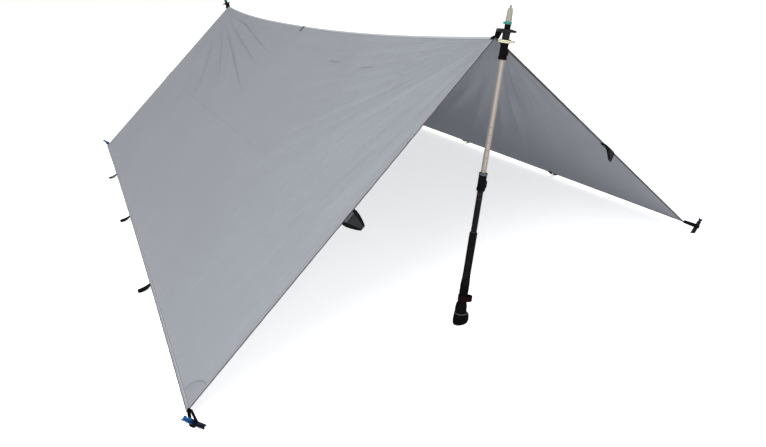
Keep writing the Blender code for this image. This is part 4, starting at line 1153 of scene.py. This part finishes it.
def moulded_finish(name, colour, roughness=0.5, grain=0.5, gloss=0.02, line_at=None):
    """Moulded plastic: a fine even texture, uneven gloss, a little dust, and a worn line if one is given."""
    finish = Finish(name, Specular_IOR_Level=gloss)
    place = finish.place("Object")
    fine = finish.noise(place, 1600.0, 2.0)
    broad = finish.noise(place, 60.0, 4.0) - 0.5
    dust = finish.ramp(finish.noise(place, 35.0, 5.0, 0.65), 0.5, 0.8)
    shade = finish.colours(dust * 0.5, colour, [value * 0.95 + 0.005 for value in colour])
    if line_at is not None:
        worn = finish.line(finish.flat_place()[1], line_at, 1.6 * MM)
        shade = finish.colours(worn, shade, WORN_GREY)
    finish.paint(Base_Color=shade, Roughness=roughness + broad * 0.2)
    return finish.relief(fine, 0.06 * MM, grain)


def foam_finish(name):
    """Closed-cell foam: small round cells, dark and quite dull."""
    finish = Finish(name, Specular_IOR_Level=0.04)
    place = finish.place("Object")
    cells = finish.node("ShaderNodeTexVoronoi", inputs={"Vector": place, "Scale": 900.0})
    worn = finish.ramp(finish.noise(place, 50.0, 4.0), 0.45, 0.8)
    shade = finish.colours(worn * 0.6 + cells * 0.3, *FOAM_BLACKS)
    finish.paint(Base_Color=shade, Roughness=0.95 - worn * 0.1)
    return finish.relief(cells, 0.25 * MM, 0.7)


BEIGE_METAL = metal_finish("warm_grey_tube", TUBE_BEIGE, 0.42, 0.35, 0.12)
BLACK_METAL = metal_finish("black_tube", (0.004, 0.0036, 0.0036), 0.42, 0.0, 0.03, gloss=0.05)
CARBIDE = metal_finish("carbide", (0.10, 0.075, 0.07), 0.42, 0.9, 0.3)
BEIGE_PLASTIC = moulded_finish("beige_plastic", (0.25, 0.245, 0.205), 0.5, gloss=0.3)
BLACK_PLASTIC = moulded_finish("black_nylon", (0.0035, 0.0032, 0.0036), 0.45)
SLATE_PLASTIC = moulded_finish("slate_collar", (0.055, 0.055, 0.075), 0.5, gloss=0.3)
HANDLE_PLASTIC = moulded_finish("handle_plastic", (0.003, 0.0027, 0.0027), 0.6, 0.8, 0.01, WORN_HEIGHT)
RIM_PLASTIC = moulded_finish("basket_plastic", (0.005, 0.0056, 0.005), 0.4, gloss=0.12)
RING_BROWN = moulded_finish("brown_band", (0.045, 0.028, 0.022), 0.5)
TEAL_RUBBER = moulded_finish("teal_rubber", (0.02, 0.19, 0.155), 0.65, gloss=0.2)
FOAM = foam_finish("grip_foam")
print("finishes so far:", len(bpy.data.materials))

# %% [markdown]
# ## Tubes, tip and basket
# The tubes are measured down from the pole's end, and each is wider than the last by a wall and a small gap.
# The tip, its root and the basket are tables of radius and drop, taken from the CAD model and the picture.

# %% Sizes of the poles
GAP = 0.3 * MM
WALL = 0.7 * MM
LOWER_RADIUS = 7.0 * MM
MIDDLE_RADIUS = LOWER_RADIUS + GAP + WALL
UPPER_RADIUS = MIDDLE_RADIUS + GAP + WALL
TUBE_LENGTH = 0.500
SOCKET_TOP = 56 * MM
HUB_BOTTOM = 90 * MM
LOWER_LOCK_TOP = HUB_BOTTOM + GAP
LOCK_LIP = 4 * MM
LOCK_LENGTH = 55.5 * MM
UPPER_LOCK_TOP = 0.4705
LOCK_RADIUS = UPPER_RADIUS + GAP + 2.7 * MM
GRIP_TOP = 0.303
FOOT_HEIGHT = 0.030
MARKS_FROM = 0.335 - LOWER_LOCK_TOP - LOCK_LIP
MARKS = 5
MARK_SPACING = 22.5 * MM
MARK_DIRECTION = math.radians(235)
# Each part of the tip: its node, slot and finish, and radius and drop from the pole's end in mm
TIP_PARTS = {
    "carbide_point": ("carbide_tip", "carbide", CARBIDE, (
        (0, 0), (1.2, 0), (1.6, 0.6), (2.3, 2), (2.3, 17), (0, 17))),
    "cone": ("flex_tip", "beige_plastic", BEIGE_PLASTIC, (
        (0, 17.3), (2.6, 17.3), (2.6, 7), (5.0, 7), (7.1, 12), (7.9, 22), (8.4, 34), (8.6, 43.7), (7.9, 43.7),
        (7.9, 51.2), (0, 51.2))),
    "tip_root": ("flex_tip", "beige_plastic", BLACK_PLASTIC, (
        (0, 51.3), (8.6, 51.3), (8.6, 90), (7.3, 90), (7.3, 55.7), (0, 55.7))),
    "basket_disc": ("basket", "black_plastic", RIM_PLASTIC, (
        (25.3, 64.8), (26.5, 66.2), (26.5, 70.5), (24.6, 71.5), (23.8, 68.6), (15.5, 68.4), (12.2, 71.0),
        (10.4, 78.0), (10.6, 86.0), (11.0, 90.0), (8.9, 90.0), (8.9, 65.0))),
}
print("tube radii in mm:", [round(radius / MM, 1) for radius in (LOWER_RADIUS, MIDDLE_RADIUS, UPPER_RADIUS)])

# %% [markdown]
# ## The tubes and the tip
# A tube is one closed profile, its outer wall and its inner wall. The middle tube's marks for setting the
# length are drawn in its UV, whose first distance runs down the tube.

# %% Tubes and tips
def tube_marks(finish, base):
    """Short dark marks at even distances from the tube's end, all on one side: masks of the tube's UV."""
    uv, along, around = finish.flat_place()
    first, last = MARKS_FROM - MARK_SPACING / 2, MARKS_FROM + (MARKS - 0.5) * MARK_SPACING
    inside = finish.ramp(along, first, first + MM) * finish.fade(along, last, last + MM)
    rings = finish.fade(finish.wave(along - MARKS_FROM, MARK_SPACING), 0.6 * MM, 1.1 * MM) * inside
    aside = abs(around - MARK_DIRECTION * MIDDLE_RADIUS)
    return finish.colours(rings * finish.fade(aside, 2.5 * MM, 3.5 * MM), base, (0.05, 0.045, 0.04))


MARKED_TUBE = metal_finish("marked_tube", TUBE_BEIGE, 0.42, 0.35, 0.12, marks=tube_marks)


def make_tube(end, section, radius, top, bottom, finish, body, slot):
    """A tube's outer and inner walls as one closed profile."""
    profile = [(radius, top), (radius, bottom), (radius - WALL, bottom), (radius - WALL, top)]
    name = end + "_" + section + "_shaft"
    return turned(name + "_tube", end, profile, finish, body, name, slot, closed=True, rounding=0.2 * MM)


def make_tip_part(end, name, sides=64, closed=False):
    """Turn one part of the table at the pole's end."""
    node, slot, finish, outline = TIP_PARTS[name]
    profile = [(radius * MM, POLE_LENGTHS[end] - drop * MM) for radius, drop in outline]
    turned(end + "_" + name, end, profile, finish, "canopy", end + "_" + node, slot, sides, closed)


def make_tip(end):
    """Carbide point, beige cone with its black root, the lower tube, the teal ring and the basket."""
    make_tip_part(end, "carbide_point", sides=32)
    make_tip_part(end, "cone")
    make_tip_part(end, "tip_root")
    top = POLE_LENGTHS[end] - SOCKET_TOP
    make_tube(end, "lower", LOWER_RADIUS, top, top - TUBE_LENGTH, BEIGE_METAL, "canopy", "grey_aluminium")
    rounded_copy(end + "_tip_ring", "canopy", TEAL_RUBBER, 0.3 * MM, "teal_rubber")
    make_tip_part(end, "basket_disc", closed=True)


print("parts of the tip:", list(TIP_PARTS))

# %% [markdown]
# ## The sections below
# The middle and the upper tube slide out of each other, so each belongs to its own body. The upper one also
# carries a slate collar at its lock and three thin brown rings. The locks are copies of the CAD parts.

# %% Sections and locks
def make_band(name, end, radius, inner, top, height, finish, node):
    """A short sleeve round the pole's upper section."""
    profile = [(radius, top), (radius, top - height), (inner, top - height), (inner, top)]
    return turned(end + name, end, profile, finish, end + "_pole_upper", end + node, "black_plastic",
                  closed=True, rounding=0.3 * MM)


def make_upper_tubes(end):
    """The middle tube from the lower lock down, and the upper tube with its collar and three thin rings."""
    lower_top = POLE_LENGTHS[end] - LOWER_LOCK_TOP - LOCK_LIP - GAP
    make_tube(end, "middle", MIDDLE_RADIUS, lower_top, lower_top - TUBE_LENGTH, MARKED_TUBE,
              end + "_pole_middle", "grey_aluminium")
    lock_top = POLE_LENGTHS["front"] - UPPER_LOCK_TOP
    make_tube(end, "upper", UPPER_RADIUS, lock_top - LOCK_LIP - GAP, FOOT_HEIGHT, BLACK_METAL,
              end + "_pole_upper", "black_aluminium")
    make_band("_lock_collar", end, LOCK_RADIUS + 0.9 * MM, LOCK_RADIUS - 1.0 * MM, lock_top - 0.4 * MM,
              6.5 * MM, SLATE_PLASTIC, "_upper_lock_clamp")
    tops = lock_top - LOCK_LENGTH - 7 * MM, lock_top - LOCK_LENGTH - 23 * MM, GRIP_TOP + 3 * MM
    for number, top in enumerate(tops):
        make_band("_shaft_ring_%d" % number, end, UPPER_RADIUS + 0.35 * MM, UPPER_RADIUS - 0.1 * MM, top,
                  2.2 * MM, RING_BROWN, "_upper_shaft")


for end in POLE_FRAMES:
    make_tip(end)
    make_upper_tubes(end)
    for lock, section in (("lower", "_pole_middle"), ("upper", "_pole_upper")):
        name = end + "_" + lock + "_lock"
        rounded_copy(name + "_clamp", end + section, BLACK_PLASTIC, 0.4 * MM, "black_plastic")
        rounded_copy(name + "_bolt", end + section, STEEL, 0.2 * MM, "steel")
        rounded_copy(name + "_lever", end + "_" + lock + "_lever", BLACK_PLASTIC, 0.4 * MM, "black_plastic")
print("locks made:", [end + " " + lock for end in POLE_FRAMES for lock in ("lower", "upper")])

# %% [markdown]
# ## Grip and handle
# The long grip is a foam sleeve, and below it sits the moulded handle with the wrist strap round its waist.
# The handle is lofted: ellipses of changing width and depth, stacked along the axis. Every point below the
# ground is brought up to it, which gives the flat the pole stands on. The rings then turn in at the top and
# run down a bore, so the tubes have room inside when the pole is pushed together.

# %% Grip and handle
FOAM_RADIUS = 11.8 * MM
GRIP_BOTTOM = 0.1343
BORE = UPPER_RADIUS + GAP
HANDLE_SIDES = 72
HANDLE_STEPS = 90
WRIST_HEIGHT = 0.086
WRIST_WIDTH = 19 * MM
WRIST_RADIUS = 14.6 * MM
WRIST_BULGE = 14 * MM
WRIST_SPREAD = 0.42
WRIST_POINTS = 96
WRIST_DIRECTION = math.radians(-28)
# Height above the ground in metres, then half width, half depth and the shift towards the lean in millimetres
HANDLE_STATIONS = (
    (0.1340, 13.9, 13.9, 0.0),
    (0.1180, 14.0, 14.0, 0.0),
    (0.1060, 14.0, 14.0, 0.0),
    (0.0970, 13.2, 13.2, 0.0),
    (0.0740, 13.2, 13.2, 0.0),
    (0.0660, 17.5, 15.2, -1.0),
    (0.0580, 19.0, 16.2, -1.0),
    (0.0400, 19.2, 16.5, -0.5),
    (0.0370, 19.6, 16.8, 0.5),
    (0.0345, 23.5, 18.2, 3.0),
    (0.0290, 25.3, 19.2, 4.5),
    (0.0200, 26.4, 19.8, 5.0),
    (0.0120, 26.8, 20.0, 5.0),
    (0.0050, 26.0, 19.4, 4.5),
    (0.0000, 24.5, 18.4, 4.2),
    (-0.0120, 20.0, 15.0, 3.0),
)


def make_foam(end):
    """The foam sleeve: straight, flaring towards the handle, with the tube's bore inside."""
    profile = [(FOAM_RADIUS - 1.2 * MM, GRIP_TOP), (FOAM_RADIUS, GRIP_TOP - 2 * MM),
               (FOAM_RADIUS, GRIP_BOTTOM + 34 * MM), (FOAM_RADIUS + 0.8 * MM, GRIP_BOTTOM + 16 * MM),
               (FOAM_RADIUS + 2.1 * MM, GRIP_BOTTOM), (BORE, GRIP_BOTTOM), (BORE, GRIP_TOP)]
    name = end + "_foam_grip"
    sleeve = turned(name + "_sleeve", end, profile, FOAM, end + "_pole_upper", name, "foam", closed=True)


def make_handle(end):
    """Ellipses along the axis, their sizes in straight lines from station to station, then the round bore."""
    stations = np.array(HANDLE_STATIONS)[::-1]
    height = np.linspace(stations[0, 0], stations[-1, 0], HANDLE_STEPS)
    outside = [height] + [np.interp(height, stations[:, 0], sizes) * MM for sizes in stations[:, 1:].T]
    inside = [[top, BORE, BORE, 0] for top in (height[-1], FOOT_HEIGHT - GAP)]
    height, across, deep, shift = np.concatenate([np.transpose(outside), inside]).T[..., None]
    turn = np.arange(HANDLE_SIDES) * math.tau / HANDLE_SIDES
    rings = np.stack([shift + across * np.cos(turn), deep * np.sin(turn), height + 0 * turn], -1)
    points = along_pole(end, rings)
    points[..., 2] = np.maximum(points[..., 2], GROUND)
    points, uv = with_end_caps(points, uv_grid(height[:, 0], np.linspace(0, 0.1, HANDLE_SIDES + 1)))
    name = end + "_handle"
    piece = grid_piece(name + "_moulding", points, uv, HANDLE_PLASTIC, columns_close=True, flip=True)
    stand_in(piece, end + "_pole_upper", name, "black_plastic")


def make_wrist_strap(end):
    """A band round the handle's waist that stands off it on one side, by a bell curve of the angle."""
    turn = np.arange(WRIST_POINTS) * math.tau / WRIST_POINTS
    from_fold = np.arctan2(np.sin(turn), np.cos(turn))
    radius = WRIST_RADIUS + WRIST_BULGE * np.exp(-((from_fold / WRIST_SPREAD) ** 2))
    path = round_pole(end, radius, turn + WRIST_DIRECTION, WRIST_HEIGHT)
    up = POLE_FRAMES[end][3]
    tape(end + "_wrist_strap", path, up, WRIST_WIDTH, WRIST_WEBBING, end + "_pole_upper", closed=True)


for end in POLE_FRAMES:
    make_foam(end)
    make_handle(end)
    make_wrist_strap(end)
print("handle stations:", len(HANDLE_STATIONS))

# %% [markdown]
# ## Ridge straps
# Each end of the ridge hangs from a strap. It is slipped over the pole's tip, lies on the basket and runs
# down to the ridge, where it is sewn flat on the seam. Its path has three parts, over the basket, down in a
# curve and along the ridge, and its width eases from the ring round the neck to the tape.

# %% Ridge straps
BASKET_TOP = 65 * MM
BASKET_RADIUS = 26.5 * MM
STRAP_RADIUS = 17 * MM
STRAP_WIDTH = 25 * MM
STRAP_SEWN = 15 * MM
STRAP_PULL = 3 * MM
STRAP_OVERHANG = 1.5 * MM
STRAP_STEPS = 22
STRAP_COLUMNS = 15
TAB_ENDS = (-34 * MM, 10 * MM)
TAB_WIDTH = 10 * MM


def make_ridge_strap(end):
    """A sheet of tape in three parts: over the basket, down in a cubic curve, and folded over the ridge."""
    share = np.linspace(-1, 1, STRAP_COLUMNS)
    seat = POLE_LENGTHS[end] - BASKET_TOP + GAP + TAPE_THICKNESS / 2
    run = np.linspace(-STRAP_RADIUS * 0.97, BASKET_RADIUS + STRAP_OVERHANG, STRAP_STEPS)[:, None]
    ring = np.sqrt(np.clip(STRAP_RADIUS**2 - np.minimum(run, 0) ** 2, 0, None))
    taper = STRAP_RADIUS + (STRAP_WIDTH / 2 - STRAP_RADIUS) * smooth(run / BASKET_RADIUS)
    half = np.where(run < 0, ring, taper)
    over = along_pole(end, np.stack([share * half, run + 0 * share, seat + 0 * run * share], -1))
    lift = ((HEM_THICKNESS + TAPE_THICKNESS) / 2 + GAP) / math.cos(STAKE_LEAN)
    sign = ENDS[end]
    sewn_run = np.linspace(0, STRAP_SEWN, STRAP_STEPS)[:, None]
    sewn = on_cloth(-sign * share * STRAP_WIDTH / 2, sign * (HALF_RIDGE - sewn_run)) + np.array([0, 0, lift])
    t = np.linspace(0, 1, STRAP_STEPS)[:, None, None]
    leave, arrive = over[-1], sewn[0]
    leave_pull = leave + POLE_FRAMES[end][2] * STRAP_PULL
    arrive_pull = arrive + np.array([0, sign * STRAP_PULL, 0])
    down = (1 - t) ** 3 * leave + 3 * (1 - t) ** 2 * t * leave_pull
    down = down + 3 * (1 - t) * t**2 * arrive_pull + t**3 * arrive
    points = np.concatenate([over, down[1:-1], sewn])
    uv = uv_grid(run_length(points), share * STRAP_WIDTH / 2)
    name = end + "_ridge_strap"
    piece = grid_piece(name + "_tape", points, uv, WEBBING, flip=end == "rear")
    add_wall(piece, TAPE_THICKNESS)
    return stand_in(piece, "canopy", name, "webbing")


def make_ridge_tab():
    """A narrow tape over the ridge at its middle, sewn on the seam, longer on the left half."""
    across = np.linspace(*TAB_ENDS, 23)
    path = on_cloth(across, 0.0, (HEM_THICKNESS + TAPE_THICKNESS) / 2)
    return tape("ridge_tab", path, (0, 1, 0), TAB_WIDTH, WEBBING, node="ridge_seam")


straps = [make_ridge_tab()] + [make_ridge_strap(end) for end in POLE_FRAMES]
print("straps on the ridge:", [piece.name for piece in straps])

# %% [markdown]
# ## The glowing cord
# Two turns of pale cord are wound round the flange of the front pole's lower lock and tied in a small dark
# knot. The cord is a circle carried along its path, and its braid is drawn in UV as two sets of slanting
# strands that cross.

# %% Cord finish and winding
CORD_DIAMETER = 3.4 * MM
KNOT_DIAMETER = 2.6 * MM
CORD_SIDES = 20
CORD_TURNS = 2
CORD_PITCH = 4.2 * MM
FLANGE_RADIUS = 16 * MM
FLANGE_HEIGHT = 10.5 * MM
FLANGE_MIDDLE = POLE_LENGTHS["front"] - LOWER_LOCK_TOP - FLANGE_HEIGHT / 2
KNOT_DIRECTION = math.radians(-28)
KNOT_RADIUS = 4 * MM
KNOT_GAP = 0.8 * MM
STRAND = 1.3 * MM


def braid_finish(name, colour, shade):
    """Two sets of slanting strands: waves of the distance along the cord plus or less that round it."""
    finish = Finish(name, Specular_IOR_Level=0.3)
    uv, along, around = finish.flat_place()
    strands = finish.ribs(along + around, STRAND).maths("MAXIMUM", finish.ribs(along - around, STRAND))
    finish.paint(Base_Color=finish.colours(strands, shade, colour), Roughness=0.85 - strands * 0.15)
    return finish.relief(strands, 0.3 * MM, 0.8)


def round_cord(name, path, diameter, finish):
    """Carry a circle along a path. Its first direction is square to the path and to the pole."""
    ahead = unit(np.gradient(path, axis=0))
    first = unit(np.cross(ahead, POLE_FRAMES["front"][3]))[:, None]
    second = np.cross(ahead, first[:, 0])[:, None]
    turn = (np.arange(CORD_SIDES) * math.tau / CORD_SIDES)[:, None]
    points = path[:, None] + (first * np.cos(turn) + second * np.sin(turn)) * diameter / 2
    uv = uv_grid(run_length(path[:, None]), np.linspace(0, math.pi * diameter, CORD_SIDES + 1))
    points, uv = with_end_caps(points, uv)
    piece = grid_piece(name, points, uv, finish, columns_close=True)
    return stand_in(piece, "front_pole_middle", "front_cord_winding", "glow_cord")


def winding_path(steps=200):
    """Even turns on the flange whose two ends swing out to the knot."""
    whole = math.tau * CORD_TURNS
    lead, swing = math.radians(7), math.radians(50)
    angle = np.linspace(lead, whole - lead, steps)
    out = 1 - smooth((np.minimum(angle, whole - angle) - lead) / swing)
    drop = (angle / math.tau - CORD_TURNS / 2) * CORD_PITCH * (1 - out)
    reach = FLANGE_RADIUS + GAP + CORD_DIAMETER / 2 + (KNOT_RADIUS + CORD_DIAMETER / 2 + KNOT_GAP) * out
    return round_pole("front", reach, angle + KNOT_DIRECTION, FLANGE_MIDDLE - drop)


def knot_path(steps=160):
    """A trefoil that fits the knot's ball: sines and cosines of the angle, of twice it and three times it."""
    turn = np.linspace(0, math.tau, steps)
    size = 1.1 * MM
    x = size * (np.sin(turn) + 2 * np.sin(2 * turn)) * 0.8
    y = size * (np.cos(turn) - 2 * np.cos(2 * turn)) * 0.8
    out = FLANGE_RADIUS + GAP + CORD_DIAMETER + KNOT_GAP + KNOT_RADIUS - size * np.sin(3 * turn)
    cos, sin = math.cos(KNOT_DIRECTION), math.sin(KNOT_DIRECTION)
    return along_pole("front", np.stack([out * cos - x * sin, out * sin + x * cos, FLANGE_MIDDLE + y], -1))


CORD = braid_finish("glowing_braid", (0.78, 0.77, 0.62), (0.50, 0.50, 0.24))
KNOT = braid_finish("dark_red_braid", (0.10, 0.03, 0.025), (0.03, 0.01, 0.01))
round_cord("cord_winding", winding_path(), CORD_DIAMETER, CORD)
round_cord("cord_knot", knot_path(), KNOT_DIAMETER, KNOT)
print("cord in the winding:", round(run_length(winding_path()[:, None])[-1], 3), "m")

# %% [markdown]
# ## The cloth's size
# Each panel is a sheet that was cut flat, 1.3 m by 3 m, and then stretched.

print("sheets:", [panel.name for panel in panels], "each", HALF_WIDTH, "by", round(2 * HALF_RIDGE, 3), "m")

# %% [markdown]
# ## Floor, light and background
# The floor is a pale plane at the level of the ground. The camera sees it a little brighter than it is, up to
# white, so that the background is clean and the tarp's shadow still shows. The light is an even white world
# with one large soft lamp from the upper left, and a weaker one low in front that reaches under the tarp.

# %% Floor and light
WORLD_STRENGTH = 0.71
FLOOR_COLOUR = 0.90
FLOOR_GLOW = 0.62
FLOOR_HALF = 30.0
FLOOR_DROP = 0.2 * MM
BLACK, WHITE = (0.0, 0.0, 0.0), (1.0, 1.0, 1.0)
LIT_POINT = np.array([0.0, 0.0, 0.4])
# Each lamp: its place and size in metres, and its power in watts
LAMPS = {"high_lamp": ((-3.5, -3.0, 5.0), 3.5, 210), "low_lamp": ((-2.0, -5.0, 1.0), 2.0, 62)}


def floor_finish(name):
    """Pale and dull, with a glow that only the camera and reflections see."""
    finish = Finish(name, Roughness=0.9, Specular_IOR_Level=0.0, Emission_Strength=1.0)
    path = finish.node("ShaderNodeLightPath", output="Is Camera Ray")
    seen = path + path.output("Is Glossy Ray") + path.output("Is Transmission Ray")
    glow = finish.colours(seen.maths("MINIMUM", 1.0) * FLOOR_GLOW, BLACK, WHITE)
    return finish.paint(Base_Color=(FLOOR_COLOUR,) * 3, Emission_Color=glow)


def add_floor():
    """A large square on the ground."""
    mesh = bpy.data.meshes.new("floor")
    signs = ((-1, -1), (1, -1), (1, 1), (-1, 1))
    corners = [(x * FLOOR_HALF, y * FLOOR_HALF, GROUND - FLOOR_DROP) for x, y in signs]
    mesh.from_pydata(corners, [], [(0, 1, 2, 3)])
    mesh.materials.append(floor_finish("floor"))
    add_object("floor", mesh)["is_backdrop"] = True


def add_world():
    """An even white world, at full white where the camera or a reflection sees it."""
    world = bpy.data.worlds.new("studio")
    bpy.context.scene.world = world
    sky = NodeTree(world)
    path = sky.node("ShaderNodeLightPath", output="Is Camera Ray")
    seen = path.maths("MAXIMUM", path.output("Is Glossy Ray"))
    strength = sky.node("ShaderNodeMapRange", inputs={"Value": seen, "To Min": WORLD_STRENGTH})
    sky.put(sky.nodes["Background"].inputs["Color"], WHITE)
    sky.put(sky.nodes["Background"].inputs["Strength"], strength)


def add_lamp(name, place, size, power):
    """A large square lamp, its back to the sky and facing the middle of the tarp."""
    lamp = add_object(name, bpy.data.lights.new(name, "AREA"))
    lamp.data.size = size
    lamp.data.energy = power
    backward = unit(place - LIT_POINT)
    right = unit(np.cross([0.0, 0.0, 1.0], backward))
    set_up(lamp, place, right, np.cross(backward, right), backward)


add_floor()
add_world()
for name, settings in LAMPS.items():
    add_lamp(name, *settings)
bpy.context.scene.view_settings.view_transform = "Standard"
print("lamps in watts:", {name: power for name, (place, size, power) in LAMPS.items()})

# %% [markdown]
# ## Sizes and the end
# The boxes of the CAD model and of the dressed model are both printed.

# %% Finish
DRESSED_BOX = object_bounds()
boxes = {"cad": CAD_BOX, "visual": DRESSED_BOX}
boxes = {label: [[float(value) for value in corner] for corner in box] for label, box in boxes.items()}
for label, box in boxes.items():
    print(label, [[round(value, 4) for value in corner] for corner in box])
